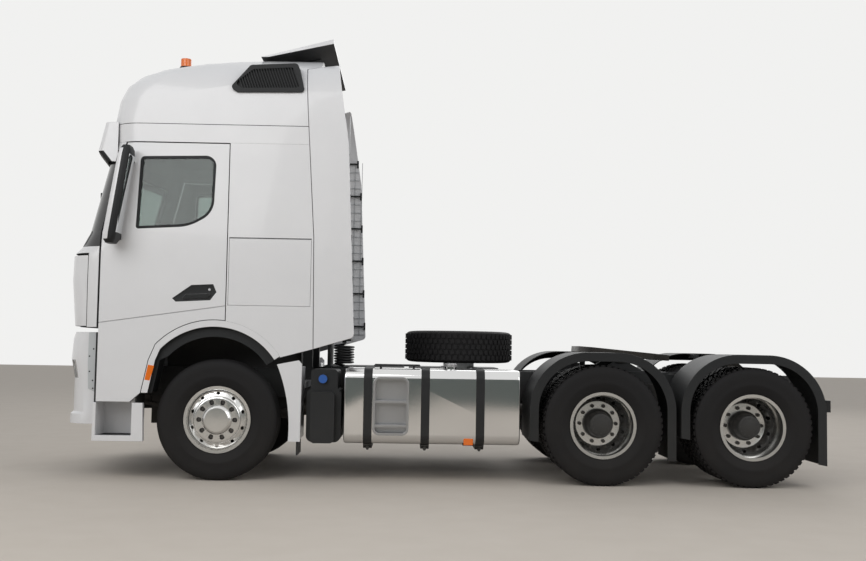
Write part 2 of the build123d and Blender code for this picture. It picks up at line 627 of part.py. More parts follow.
def tyre_profile():
    """Half section of a tyre as radius and distance from its middle plane."""
    half = TYRE_WIDTH / 2
    return (
        (RIM_SEAT_RADIUS + FIT, -112), (340, -half + 8), (440, -half), (505, -half + 4),
        (TYRE_RADIUS, -half + 36), (TYRE_RADIUS, half - 36), (505, half - 4), (440, half),
        (340, half - 8), (RIM_SEAT_RADIUS + FIT, 112),
    )


with BuildPart() as spare_tyre:
    with BuildSketch(Plane.XZ) as section:
        with BuildLine():
            Polyline(*tyre_profile(), close=True)
        make_face()
    revolve(axis=Axis.Z)
spare_tyre.part.locate(Location((SPARE_X, 0, SPARE_Z)))
keep(spare_tyre, "spare_tyre")

with BuildPart() as spare_carrier:
    with Locations((SPARE_X, 0, SPARE_Z)):
        Cylinder(RIM_SEAT_RADIUS, 224)
        Cylinder(RIM_SEAT_RADIUS - RIM_WALL, 224, mode=Mode.SUBTRACT)
    with Locations((SPARE_X, 0, SPARE_Z - 90)):
        Cylinder(RIM_SEAT_RADIUS - 1, 14)
    for end in (-130, 130):
        with Locations((SPARE_X + end, 0, FRAME_TOP_Z + FIT + 15)):
            Box(80, 2 * RAIL_HALF, 30)
    with Locations((SPARE_X, 0, (FRAME_TOP_Z + FIT + SPARE_Z - 90) / 2)):
        Box(300, 240, SPARE_Z - 90 - FRAME_TOP_Z - FIT)
keep(spare_carrier, "spare_carrier")

# Mudguards: an arc over each drive wheel pair, with an outer lip and a flap.
GUARD_HALF = 657.0
GUARD_TOP_Z = 1190.0
GUARD_CORNER = 520.0
GUARD_LIP = 80.0
GUARD_SHEET = 10.0
GUARD_INNER_Y = 590.0
GUARD_ARM_AHEAD = 60.0


def guard_face(inset, low_front, low_rear, centre_x):
    """Side view of a mudguard as a filled face, inset from its outer edge."""
    half = GUARD_HALF - inset
    top = GUARD_TOP_Z - inset
    corner = GUARD_CORNER - inset
    bend = corner * (1 - sqrt(0.5))
    with BuildSketch(Plane.XZ) as face:
        with BuildLine():
            Line((centre_x + half, low_front), (centre_x + half, top - corner))
            ThreePointArc((centre_x + half, top - corner), (centre_x + half - bend, top - bend),
                          (centre_x + half - corner, top))
            Line((centre_x + half - corner, top), (centre_x - half + corner, top))
            ThreePointArc((centre_x - half + corner, top), (centre_x - half + bend, top - bend),
                          (centre_x - half, top - corner))
            Line((centre_x - half, top - corner), (centre_x - half, low_rear))
            Line((centre_x - half, low_rear), (centre_x + half, low_front))
        make_face()
    return face.sketch


def guard(centre_x, low_front, low_rear):
    """One mudguard for the left side: sheet over the tyres and lip at its outer edge."""
    with BuildPart(mode=Mode.PRIVATE) as made:
        extrude(guard_face(0, low_front, low_rear, centre_x), amount=-HALF_WIDTH)
        extrude(guard_face(GUARD_SHEET, low_front - 60, low_rear - 60, centre_x), amount=-HALF_WIDTH,
                mode=Mode.SUBTRACT)
        with Locations((centre_x, GUARD_INNER_Y / 2 - 5, GUARD_TOP_Z - 500)):
            Box(2 * GUARD_HALF + 40, GUARD_INNER_Y + 10, 1200, mode=Mode.SUBTRACT)
        with BuildSketch(Plane.XZ.offset(-HALF_WIDTH + 12)) as lip:
            add(guard_face(0, low_front, low_rear, centre_x))
            add(guard_face(GUARD_LIP, low_front - 60, low_rear - 60, centre_x), mode=Mode.SUBTRACT)
        extrude(amount=-12)
        # Arm from the frame rail out under the sheet
        arm_x = centre_x + GUARD_ARM_AHEAD
        with Locations((arm_x, (RAIL_HALF + FIT + GUARD_INNER_Y + 60) / 2, GUARD_TOP_Z - GUARD_SHEET - 20)):
            Box(50, GUARD_INNER_Y + 60 - RAIL_HALF - FIT, 40)
        with Locations((arm_x, RAIL_HALF + FIT + 20, (GUARD_TOP_Z + 900) / 2 - 10)):
            Box(50, 40, GUARD_TOP_Z - 900 - 20)
    return made.part


GUARD_TABLE = (
    (DRIVE_AXLE_X[0] + 5, 397.0, 229.0),
    (DRIVE_AXLE_X[1] - 3, 437.0, 207.0),
)
for side_name, mirrored in (("left", False), ("right", True)):
    with BuildPart() as mudguards:
        for centre_x, low_front, low_rear in GUARD_TABLE:
            sheet = guard(centre_x, low_front, low_rear)
            add(sheet.mirror(Plane.XZ) if mirrored else sheet)
    keep(mudguards, f"mudguards_{side_name}")

# White panels behind the front wheels, with a short flap, carried by the frame.
FENDER_OUTER_Y = 1236.0
with BuildPart() as front_fenders:
    for side in (1, -1):
        with BuildSketch(Plane.XZ.offset(-side * (FENDER_OUTER_Y - 13))) as fender:
            with BuildLine():
                Line((FRONT_AXLE_X - 527, 1039), (FRONT_AXLE_X - 720, 1078))
                Line((FRONT_AXLE_X - 720, 1078), (FRONT_AXLE_X - 750, 1045))
                Line((FRONT_AXLE_X - 750, 1045), (FRONT_AXLE_X - 746, 358))
                Line((FRONT_AXLE_X - 746, 358), (FRONT_AXLE_X - 639, 358))
                ThreePointArc((FRONT_AXLE_X - 639, 358), (FRONT_AXLE_X - 618, 740), (FRONT_AXLE_X - 527, 1039))
            make_face()
        extrude(amount=13, both=True)
        with Locations((FRONT_AXLE_X - 733, side * (FENDER_OUTER_Y + 860) / 2, 700)):
            Box(20, FENDER_OUTER_Y - 860, 640)
        with Locations((FRONT_AXLE_X - 716, side * 1050, 310)):
            Box(14, 300, 150)
        with Locations((FRONT_AXLE_X - 733, side * (RAIL_HALF + FIT + 870) / 2, 850)):
            Box(50, 870 - RAIL_HALF - FIT, 60)
keep(front_fenders, "front_fenders")

# Fifth wheel: pedestals on the rails and the rocking plate with its throat.
PLATE_LENGTH = 880.0
PLATE_HALF = 450.0
PLATE_DEPTH = 55.0
PEDESTAL_Y = 330.0
PEDESTAL_PIN_RADIUS = 22.0
with BuildPart() as fifth_wheel_base:
    with Locations((FIFTH_X, 0, FRAME_TOP_Z + FIT + 8)):
        Box(900, 2 * RAIL_HALF, 16)
    for side in (1, -1):
        with BuildSketch(Plane.XZ.offset(-side * PEDESTAL_Y)) as pedestal:
            with BuildLine():
                Polyline((FIFTH_X - 230, FRAME_TOP_Z + 16), (FIFTH_X - 50, FIFTH_Z - 20), (FIFTH_X - 26, FIFTH_Z + 12),
                         (FIFTH_X + 26, FIFTH_Z + 12), (FIFTH_X + 50, FIFTH_Z - 20), (FIFTH_X + 230, FRAME_TOP_Z + 16),
                         close=True)
            make_face()
        extrude(amount=30, both=True)
        with Locations(Location((FIFTH_X, side * PEDESTAL_Y, FIFTH_Z), (90, 0, 0))):
            Cylinder(PEDESTAL_PIN_RADIUS, 112)
keep(fifth_wheel_base, "fifth_wheel_base")

plate_plane = Plane(origin=(FIFTH_X, 0, FIFTH_Z), x_dir=(cos(radians(FIFTH_REST_TILT)), 0, sin(radians(FIFTH_REST_TILT))),
                    z_dir=(-sin(radians(FIFTH_REST_TILT)), 0, cos(radians(FIFTH_REST_TILT))))
with BuildPart() as fifth_wheel_plate:
    with BuildSketch(plate_plane.offset(30)) as plate:
        with BuildLine():
            Line((400, -250), (400, 250))
            Line((400, 250), (300, PLATE_HALF))
            Line((300, PLATE_HALF), (-300, PLATE_HALF))
            Line((-300, PLATE_HALF), (-480, 330))
            Line((-480, 330), (-480, 160))
            Line((-480, 160), (-60, KINGPIN_BORE_RADIUS))
            Line((-60, KINGPIN_BORE_RADIUS), (0, KINGPIN_BORE_RADIUS))
            ThreePointArc((0, KINGPIN_BORE_RADIUS), (KINGPIN_BORE_RADIUS, 0), (0, -KINGPIN_BORE_RADIUS))
            Line((0, -KINGPIN_BORE_RADIUS), (-60, -KINGPIN_BORE_RADIUS))
            Line((-60, -KINGPIN_BORE_RADIUS), (-480, -160))
            Line((-480, -160), (-480, -330))
            Line((-480, -330), (-300, -PLATE_HALF))
            Line((-300, -PLATE_HALF), (300, -PLATE_HALF))
            Line((300, -PLATE_HALF), (400, -250))
        make_face()
    extrude(amount=PLATE_DEPTH)
    # Ears on each pedestal pin
    for side in (1, -1):
        for ear_y in (PEDESTAL_Y - 30 - 6 - 10, PEDESTAL_Y + 30 + 6 + 10):
            with BuildSketch(Plane.XZ.offset(-side * ear_y)) as ear:
                with BuildLine():
                    Polyline((FIFTH_X - 60, FIFTH_Z + 30), (FIFTH_X - 45, FIFTH_Z - 35), (FIFTH_X + 45, FIFTH_Z - 35),
                             (FIFTH_X + 60, FIFTH_Z + 42), close=True)
                make_face()
                with Locations((FIFTH_X, FIFTH_Z)):
                    Circle(PEDESTAL_PIN_RADIUS + PIN_FIT, mode=Mode.SUBTRACT)
            extrude(amount=10, both=True)
keep(fifth_wheel_plate, "fifth_wheel_plate")

for number, place in enumerate(HOSE_PLACES, start=1):
    with BuildPart() as air_hose:
        with Locations((HOSE_X, place, (HOSE_LOW_Z + HOSE_HIGH_Z) / 2)):
            Cylinder(HOSE_COIL_RADIUS, HOSE_HIGH_Z - HOSE_LOW_Z)
    keep(air_hose, f"air_hose_{number}")


# Cab floor with the engine tunnel and the two tilt arms.
TUNNEL_HALF = 420.0
TUNNEL_TOP_Z = 1500.0
FLOOR_THICKNESS = 40.0
FLOOR_EDGE_GAP = 8.0
FLOOR_FRONT_X = FRONT_AXLE_X + FRONT_OVERHANG - 35.0 - PANEL - FIT
FLOOR_BACK_X = CAB_BACK_X + PANEL + FIT
TUNNEL_FRONT_X = FRONT_AXLE_X + 1000.0
with BuildPart() as cab_floor:
    floor_outline = plan_section(CAB_BOTTOM_Z, FLOOR_FRONT_X, INNER_HALF - FLOOR_EDGE_GAP, FLOOR_BACK_X,
                                 CORNER_RADIUS - PANEL, FRONT_BOW_RADIUS - PANEL)
    extrude(floor_outline, amount=FLOOR_THICKNESS)
    with Locations(((FLOOR_BACK_X + TUNNEL_FRONT_X) / 2, 0, (CAB_BOTTOM_Z + TUNNEL_TOP_Z) / 2)):
        Box(TUNNEL_FRONT_X - FLOOR_BACK_X, 2 * TUNNEL_HALF, TUNNEL_TOP_Z - CAB_BOTTOM_Z)
    with Locations(((FLOOR_BACK_X + TUNNEL_FRONT_X) / 2 - 40, 0, (CAB_BOTTOM_Z + TUNNEL_TOP_Z) / 2 - 40)):
        Box(TUNNEL_FRONT_X - FLOOR_BACK_X, 2 * TUNNEL_HALF - 80, TUNNEL_TOP_Z - CAB_BOTTOM_Z, mode=Mode.SUBTRACT)
    for side in (1, -1):
        with BuildSketch(Plane.XZ.offset(-side * (RAIL_HALF + 35))) as arm:
            with BuildLine():
                Polyline((TILT_X - 10, TILT_Z - 40), (TILT_X + 30, TILT_Z - 30), (TILT_X + 38, TILT_Z + 10),
                         (TILT_X + 10, TILT_Z + 40), (TILT_X - 330, CAB_BOTTOM_Z + 10),
                         (TILT_X - 480, CAB_BOTTOM_Z + 10), close=True)
            make_face()
            with Locations((TILT_X, TILT_Z)):
                Circle(TILT_PIN_RADIUS + PIN_FIT, mode=Mode.SUBTRACT)
        extrude(amount=20, both=True)
keep(cab_floor, "cab_floor")

# Outlines of the door and of what surrounds it, seen from the side.
DOOR_SLOPE_TOP_X = DOOR_FRONT_X - PILLAR_RAKE * (DOOR_TOP_Z - DOOR_BELT_Z)


def door_face():
    """The door's outline: raked front edge, skirt below and wheel arch behind."""
    radius = ARCH_RADIUS + ARCH_BAND + SEAM
    rear_z = ARCH_Z + sqrt(radius ** 2 - (DOOR_REAR_X - ARCH_X) ** 2)
    rear, crown, front, knee, foot = arch_edge(radius, SEAM, ARCH_FOOT_Z)
    halfway = radians(68)
    with BuildSketch(Plane.XZ) as face:
        with BuildLine():
            Polyline(foot, knee, front)
            ThreePointArc(front, (ARCH_X + radius * cos(halfway), ARCH_Z + radius * sin(halfway)),
                          (DOOR_REAR_X, rear_z))
            Polyline((DOOR_REAR_X, rear_z), (DOOR_REAR_X, DOOR_TOP_Z), (DOOR_SLOPE_TOP_X, DOOR_TOP_Z),
                     (DOOR_FRONT_X, DOOR_BELT_Z), (DOOR_FRONT_X, SKIRT_BOTTOM_Z),
                     (FRONT_AXLE_X + 765, SKIRT_BOTTOM_Z), foot)
        make_face()
    return face.sketch


def window_face(grow):
    """The door window, low at the front and cut away at its lower rear corner."""
    with BuildSketch(Plane.XZ) as face:
        with BuildLine():
            FilletPolyline(
                (FRONT_AXLE_X + 762 + grow, 2228 - grow), (FRONT_AXLE_X + 290, 2256 - grow),
                (FRONT_AXLE_X + 72 - grow, 2380), (FRONT_AXLE_X + 56 - grow, 2902 + grow),
                (FRONT_AXLE_X + 735 + grow, 2884 + grow),
                radius=(24, 400, 200, 95, 40), close=True,
            )
        make_face()
    return face.sketch


def handle_face(shrink):
    """The pull handle's recess in the door."""
    with BuildSketch(Plane.XZ) as face:
        with BuildLine():
            Polyline(
                (FRONT_AXLE_X + 418 - shrink, 1612), (FRONT_AXLE_X + 385, 1582 + shrink),
                (FRONT_AXLE_X + 80, 1600 + shrink), (FRONT_AXLE_X + 26 + shrink, 1672),
                (FRONT_AXLE_X + 56, 1744 - shrink), (FRONT_AXLE_X + 250, 1733 - shrink), close=True,
            )
        make_face()
    return face.sketch


HANDLE_DEPTH = 32.0
GLASS = 5.0
SWAGE_REAR_Z = 1556.0
SWAGE_FRONT_Z = 1388.0
SWAGE_WIDTH = 9.0
SWAGE_DEPTH = 8.0
with BuildPart() as door_left:
    add(cab_shell)
    extrude(door_face(), amount=-1300, mode=Mode.INTERSECT)
    extrude(window_face(0), amount=-1300, mode=Mode.SUBTRACT)
    with BuildSketch(Plane.XZ.offset(-HALF_WIDTH)) as pull:
        add(handle_face(0))
    extrude(amount=HANDLE_DEPTH, mode=Mode.SUBTRACT)
    with BuildSketch(Plane.XZ.offset(-HALF_WIDTH)) as swage:
        with BuildLine():
            Polyline((DOOR_REAR_X - 5, SWAGE_REAR_Z), (DOOR_FRONT_X + 5, SWAGE_FRONT_Z),
                     (DOOR_FRONT_X + 5, SWAGE_FRONT_Z - SWAGE_WIDTH), (DOOR_REAR_X - 5, SWAGE_REAR_Z - SWAGE_WIDTH),
                     close=True)
        make_face()
    extrude(amount=SWAGE_DEPTH, mode=Mode.SUBTRACT)
    for level in HINGE_HEIGHTS:
        with Locations((HINGE_X, HINGE_Y, level)):
            Cylinder(HINGE_PIN_RADIUS + PIN_FIT, 82, mode=Mode.SUBTRACT)
            Cylinder(15, 28, mode=Mode.SUBTRACT)
        with Locations((HINGE_X + 5, HINGE_Y - 14, level)):
            Box(34, 50, 28, mode=Mode.SUBTRACT)
door_right_part = door_left.part.mirror(Plane.XZ)
keep(door_left, "door_left")
with BuildPart() as door_right:
    add(door_right_part)
keep(door_right, "door_right")

for side_name, mirrored in (("left", False), ("right", True)):
    with BuildPart() as door_glass:
        with BuildSketch(Plane.XZ.offset(-(HALF_WIDTH - 14))) as pane:
            add(window_face(-FIT))
        extrude(amount=GLASS)
        if mirrored:
            mirror(about=Plane.XZ, mode=Mode.REPLACE)
    keep(door_glass, f"door_glass_{side_name}")

# Pull handles set into the doors' recesses, and the mirrors on their arms.
MIRROR_Y = 1400.0
# Height of each mirror section, its middle ahead of the axle, depth, width and corner
MIRROR_SECTIONS = (
    (2079.0, 932.0, 70.0, 150.0, 30.0),
    (2112.0, 930.0, 104.0, 210.0, 42.0),
    (2170.0, 923.0, 118.0, 236.0, 46.0),
    (2860.0, 823.0, 108.0, 228.0, 44.0),
    (2912.0, 815.0, 94.0, 200.0, 40.0),
    (2944.0, 812.0, 62.0, 150.0, 28.0),
)
for side_name, mirrored in (("left", False), ("right", True)):
    with BuildPart() as mirror_head:
        for z, ahead, depth, width, corner in MIRROR_SECTIONS:
            with BuildSketch(Plane.XY.offset(z)) as mirror_section:
                with Locations((FRONT_AXLE_X + ahead, MIRROR_Y)):
                    RectangleRounded(depth, width, corner)
        loft(ruled=True)
        for level, ahead in ((2150, 915), (2850, 812)):
            with Locations((FRONT_AXLE_X + ahead, (HALF_WIDTH + FIT + 1320) / 2, level)):
                Box(60, 1320 - HALF_WIDTH - FIT, 50)
        with BuildSketch(Plane.XZ.offset(-(HALF_WIDTH - 4))) as grip:
            add(handle_face(FIT))
        extrude(amount=HANDLE_DEPTH - 4 - FIT)
        if mirrored:
            mirror(about=Plane.XZ, mode=Mode.REPLACE)
    keep(mirror_head, f"door_fittings_{side_name}")

# Front of the cab round the windscreen, with a recess for the hinged front flap.
FLAP_BOTTOM_Z = 1354.0
FLAP_TOP_Z = 1984.0
FLAP_HALF = 1216.0
FLAP_THICKNESS = 34.0
FLAP_RECESS = 44.0
FLAP_HINGE_X = FRONT_AXLE_X + 1447.0
FLAP_HINGE_Z = FLAP_TOP_Z - 10.0
FLAP_HINGE_Y = 250.0
FLAP_PIN_RADIUS = 6.0
FLAP_EDGE_X = FRONT_AXLE_X + 1178.0
COWL_BOTTOM_Z = 2072.0
COWL_TOP_Z = 2214.0
COWL_HALF = 1130.0
COWL_DEPTH = 26.0
SCREEN_BOTTOM_Z = 2226.0
SCREEN_TOP_Z = 2905.0
SCREEN_HALF = 1035.0


def front_face(z_low, z_high, half, corner):
    """A rounded rectangle across the cab's front, seen from ahead."""
    with BuildSketch(Plane.YZ.offset(FRONT_AXLE_X + 860)) as face:
        with Locations((0, (z_low + z_high) / 2)):
            RectangleRounded(2 * half, z_high - z_low, corner)
    return face.sketch


with BuildPart() as cab_front:
    add(cab_shell)
    with BuildSketch(Plane.XZ) as region:
        with BuildLine():
            Polyline((DOOR_FRONT_X + PILLAR_GAP, CAB_BOTTOM_Z), (FRONT_AXLE_X + 1600, CAB_BOTTOM_Z),
                     (FRONT_AXLE_X + 1600, ROOF_SEAM_Z),
                     (DOOR_FRONT_X + PILLAR_GAP - PILLAR_RAKE * (ROOF_SEAM_Z - DOOR_BELT_Z), ROOF_SEAM_Z),
                     (DOOR_FRONT_X + PILLAR_GAP, DOOR_BELT_Z), close=True)
        make_face()
    extrude(amount=1300, both=True, mode=Mode.INTERSECT)
    extrude(front_face(SCREEN_BOTTOM_Z, SCREEN_TOP_Z, SCREEN_HALF, 60), amount=800, mode=Mode.SUBTRACT)
    with BuildPart(mode=Mode.PRIVATE) as flap_room:
        add(cab_outer)
        add(cab_hull(FLAP_RECESS), mode=Mode.SUBTRACT)
        with Locations((FLAP_EDGE_X - SEAM + 300, 0, (CAB_BOTTOM_Z + FLAP_TOP_Z + 22) / 2)):
            Box(600, 2600, FLAP_TOP_Z + 22 - CAB_BOTTOM_Z, mode=Mode.INTERSECT)
    add(flap_room.part, mode=Mode.SUBTRACT)
    with BuildPart(mode=Mode.PRIVATE) as cowl_room:
        add(cab_outer)
        add(cab_hull(COWL_DEPTH), mode=Mode.SUBTRACT)
        extrude(front_face(COWL_BOTTOM_Z, COWL_TOP_Z, COWL_HALF, 30), amount=800, mode=Mode.INTERSECT)
    add(cowl_room.part, mode=Mode.SUBTRACT)
    # Door hinge arms with their pins, two on each side
    for side in (1, -1):
        for level in HINGE_HEIGHTS:
            with Locations((HINGE_X, side * HINGE_Y, level)):
                Cylinder(HINGE_PIN_RADIUS, 80)
                Cylinder(12, 16)
            with BuildSketch(Plane.XY.offset(level - 8)) as hinge_arm:
                with BuildLine():
                    Polyline(
                        (HINGE_X - 8, side * HINGE_Y), (HINGE_X - 8, side * (HINGE_Y - 62)),
                        (DOOR_FRONT_X + 49, side * (HINGE_Y - 62)), (DOOR_FRONT_X + 49, side * (INNER_HALF + 8)),
                        (DOOR_FRONT_X + 23, side * (INNER_HALF + 8)), (DOOR_FRONT_X + 23, side * (HINGE_Y - 45)),
                        (HINGE_X + 8, side * (HINGE_Y - 45)), (HINGE_X + 8, side * HINGE_Y), close=True,
                    )
                make_face()
            extrude(amount=16)
    # Flap hinge arms with their pins
    for side in (1, -1):
        with Locations(Location((FLAP_HINGE_X, side * FLAP_HINGE_Y, FLAP_HINGE_Z), (90, 0, 0))):
            Cylinder(FLAP_PIN_RADIUS, 60)
            Cylinder(10, 12)
        with Locations((FLAP_HINGE_X - 15, side * FLAP_HINGE_Y, FLAP_HINGE_Z)):
            Box(30, 12, 12)
keep(cab_front, "cab_front")

with BuildPart() as front_flap:
    add(cab_outer)
    add(cab_hull(FLAP_THICKNESS), mode=Mode.SUBTRACT)
    with Locations((FLAP_EDGE_X + 300, 0, (FLAP_BOTTOM_Z + FLAP_TOP_Z) / 2)):
        Box(600, 2600, FLAP_TOP_Z - FLAP_BOTTOM_Z, mode=Mode.INTERSECT)
    for level in range(4):
        with Locations((FRONT_AXLE_X + 1440, 0, 1440 + level * 110)):
            Box(200, 1500, 60, mode=Mode.SUBTRACT)
    for side in (1, -1):
        with Locations(Location((FLAP_HINGE_X, side * FLAP_HINGE_Y, FLAP_HINGE_Z), (90, 0, 0))):
            Cylinder(FLAP_PIN_RADIUS + PIN_FIT, 62, mode=Mode.SUBTRACT)
            Cylinder(13, 20, mode=Mode.SUBTRACT)
        with Locations((FLAP_HINGE_X - 22, side * FLAP_HINGE_Y, FLAP_HINGE_Z + 12)):
            Box(62, 20, 40, mode=Mode.SUBTRACT)
keep(front_flap, "front_flap")

with BuildPart() as wiper_cowl:
    add(cab_outer)
    add(cab_hull(COWL_DEPTH - FIT), mode=Mode.SUBTRACT)
    extrude(front_face(COWL_BOTTOM_Z + FIT, COWL_TOP_Z - FIT, COWL_HALF - FIT, 30), amount=800, mode=Mode.INTERSECT)
keep(wiper_cowl, "wiper_cowl")

with BuildPart() as windscreen:
    add(cab_hull(6.0))
    add(cab_hull(14.0), mode=Mode.SUBTRACT)
    extrude(front_face(SCREEN_BOTTOM_Z + FIT, SCREEN_TOP_Z - FIT, SCREEN_HALF - FIT, 60), amount=800,
            mode=Mode.INTERSECT)
keep(windscreen, "windscreen")

# Cab sides behind the doors, with a hatch opening and the seat of the rear fairing.
SIDE_FRONT_X = DOOR_REAR_X - SEAM - 2
HATCH_FRONT_X = SIDE_FRONT_X - 16
HATCH_REAR_X = FRONT_AXLE_X - 808.0
HATCH_BOTTOM_Z = 1560.0
HATCH_TOP_Z = 2156.0
HATCH_THICKNESS = 25.0
HATCH_HINGE_Y = HALF_WIDTH - 10.0
HATCH_HINGE_Z = HATCH_TOP_Z - 6.0
HATCH_PIN_RADIUS = 4.0
FAIRING_THICKNESS = 22.0


def arch_face(radius, leg, bottom):
    """The filled wheel arch opening out to a radius."""
    rear, crown, front, knee, foot = arch_edge(radius, leg, bottom)
    with BuildSketch(Plane.XZ) as face:
        with BuildLine():
            Polyline(foot, knee, front)
            ThreePointArc(front, crown, rear)
            Polyline(rear, (rear[0], bottom - 300), (foot[0], bottom - 300), foot)
        make_face()
    return face.sketch


def fairing_face(shift):
    """The rear side fairing, its front edge along the slanting seam."""
    with BuildSketch(Plane.XZ) as face:
        with BuildLine():
            FilletPolyline(
                (side_x(1181) + shift, 1181 - shift), (side_x(2180) + shift, 2180), (side_x(3748) + shift, 3748),
                (FRONT_AXLE_X - 1006, 3820), (FRONT_AXLE_X - 1124, 3045), (FRONT_AXLE_X - 1207, 1290 - shift),
                radius=(0, 0, 0, 20, 0, 45), close=True,
            )
        make_face()
    return face.sketch


def fairing_skin(thickness, shift):
    """Both rear side fairings as a skin that follows the cab side and the roof."""
    reach_x = FRONT_AXLE_X - 1260
    with BuildPart(mode=Mode.PRIVATE) as skin:
        add(roof_hull(0.0, reach_x))
        with Locations(((reach_x + FRONT_AXLE_X) / 2, 0, (1100 + ROOF_SEAM_Z) / 2)):
            Box(FRONT_AXLE_X - reach_x, 2 * HALF_WIDTH, ROOF_SEAM_Z - 1100)
        add(roof_hull(thickness, reach_x - 200), mode=Mode.SUBTRACT)
        with Locations((reach_x, 0, (1000 + ROOF_SEAM_Z) / 2)):
            Box(2600, 2 * (HALF_WIDTH - thickness), ROOF_SEAM_Z - 1000, mode=Mode.SUBTRACT)
        extrude(fairing_face(shift), amount=1300, both=True, mode=Mode.INTERSECT)
    return skin.part


fairing_room = fairing_skin(FAIRING_THICKNESS + FIT, SEAM)

with BuildPart() as cab_sides:
    for side in (1, -1):
        with BuildSketch(Plane.XZ.offset(-side * INNER_HALF)) as panel:
            with BuildLine():
                Polyline((SIDE_FRONT_X, CAB_BOTTOM_Z - 400), (FRONT_AXLE_X - 500, CAB_BOTTOM_Z - 400),
                         (FRONT_AXLE_X - 548, 1100), (CAB_BACK_X, 1182), (CAB_BACK_X, ROOF_SEAM_Z),
                         (SIDE_FRONT_X, ROOF_SEAM_Z), close=True)
            make_face()
            add(arch_face(ARCH_RADIUS + ARCH_BAND + FIT, FIT, ARCH_FOOT_Z), mode=Mode.SUBTRACT)
        extrude(amount=-side * PANEL)
        with Locations(((HATCH_FRONT_X + HATCH_REAR_X) / 2, side * (HALF_WIDTH - 14), (HATCH_BOTTOM_Z + HATCH_TOP_Z) / 2 + 4)):
            Box(HATCH_FRONT_X - HATCH_REAR_X + 2 * 3, 30, HATCH_TOP_Z - HATCH_BOTTOM_Z + 14, mode=Mode.SUBTRACT)
        with Locations(((HATCH_FRONT_X + HATCH_REAR_X) / 2, side * (INNER_HALF + 10), (HATCH_BOTTOM_Z + HATCH_TOP_Z) / 2)):
            Box(HATCH_FRONT_X - HATCH_REAR_X - 90, 60, HATCH_TOP_Z - HATCH_BOTTOM_Z - 90, mode=Mode.SUBTRACT)
        for end_x in (HATCH_FRONT_X + 3, HATCH_REAR_X - 3):
            with Locations(Location((end_x, side * HATCH_HINGE_Y, HATCH_HINGE_Z), (0, 90, 0))):
                Cylinder(HATCH_PIN_RADIUS + PIN_FIT, 22, mode=Mode.SUBTRACT)
    add(fairing_room, mode=Mode.SUBTRACT)
keep(cab_sides, "cab_sides")

for side_name, side in (("left", 1), ("right", -1)):
    with BuildPart() as locker:
        with Locations(((HATCH_FRONT_X + HATCH_REAR_X) / 2, side * (HALF_WIDTH - HATCH_THICKNESS / 2),
                        (HATCH_BOTTOM_Z + HATCH_TOP_Z) / 2)):
            Box(HATCH_FRONT_X - HATCH_REAR_X, HATCH_THICKNESS, HATCH_TOP_Z - HATCH_BOTTOM_Z)
        with Locations(Location(((HATCH_FRONT_X + HATCH_REAR_X) / 2, side * HATCH_HINGE_Y, HATCH_HINGE_Z), (0, 90, 0))):
            Cylinder(HATCH_PIN_RADIUS, HATCH_FRONT_X - HATCH_REAR_X + 20)
    keep(locker, f"locker_{side_name}")

# Back wall with pressed ribs.
RIB_LEVELS = (1700.0, 2100.0, 2500.0, 2900.0)
with BuildPart() as cab_back:
    with Locations((CAB_BACK_X + PANEL / 2, 0, (CAB_BOTTOM_Z + ROOF_SEAM_Z) / 2)):
        Box(PANEL, 2 * INNER_HALF - 2 * FIT, ROOF_SEAM_Z - CAB_BOTTOM_Z)
    for level in RIB_LEVELS:
        with Locations((CAB_BACK_X, 0, level)):
            Box(24, 2 * INNER_HALF - 300, 60)
keep(cab_back, "cab_back")

# Roof shell with a raised middle and openings for the louvres.
LOUVRE_INNER_Y = 1060.0
LOUVRE_OUTER_Y = HALF_WIDTH
ROOF_WALL = 45.0
BUMP_TOP_Z = 3908.0


def louvre_face(inset):
    """The louvre's outline on the side of the roof."""
    with BuildSketch(Plane.XZ) as face:
        with BuildLine():
            FilletPolyline(
                (FRONT_AXLE_X - 44 - inset, 3530 + inset), (FRONT_AXLE_X - 225 - inset * 0.6, 3738 - inset),
                (FRONT_AXLE_X - 652 + inset, 3762 - inset), (FRONT_AXLE_X - 716 + inset, 3500 + inset),
                (FRONT_AXLE_X - 110 - inset, 3487 + inset),
                radius=(30, 45, 40, 30, 30), close=True,
            )
        make_face()
    return face.sketch


roof_outer = roof_hull(0.0)
with BuildPart() as cab_roof:
    add(roof_outer)
    with BuildPart(mode=Mode.PRIVATE) as bump:
        with BuildSketch(Plane.XY.offset(3790)) as low_bump:
            with Locations((FRONT_AXLE_X - 55, 0)):
                RectangleRounded(970, 1400, 160)
        with BuildSketch(Plane.XY.offset(BUMP_TOP_Z)) as high_bump:
            with Locations((FRONT_AXLE_X - 65, 0)):
                RectangleRounded(870, 1240, 130)
        loft(ruled=True)
    add(bump.part)
    add(roof_hull(ROOF_WALL), mode=Mode.SUBTRACT)
    for side in (1, -1):
        with BuildSketch(Plane.XZ.offset(-side * (LOUVRE_INNER_Y - FIT))) as hole:
            add(louvre_face(-FIT))
        extrude(amount=-side * 300, mode=Mode.SUBTRACT)
    add(fairing_room, mode=Mode.SUBTRACT)
keep(cab_roof, "cab_roof")

SLAT_COUNT = 24
with BuildPart() as air_louvres:
    for side in (1, -1):
        with BuildSketch(Plane.XZ.offset(-side * LOUVRE_INNER_Y)) as housing:
            add(louvre_face(0.0))
        extrude(amount=-side * (LOUVRE_OUTER_Y - LOUVRE_INNER_Y))
        with BuildSketch(Plane.XZ.offset(-side * (LOUVRE_OUTER_Y - 30))) as mouth:
            add(louvre_face(38.0))
            for slat in range(SLAT_COUNT):
                with Locations(Location((FRONT_AXLE_X - 120 - slat * 25.0, 3620), (0, 0, -20))):
                    Rectangle(9, 300, mode=Mode.SUBTRACT)
        extrude(amount=-side * 60, mode=Mode.SUBTRACT)
keep(air_louvres, "air_louvres")

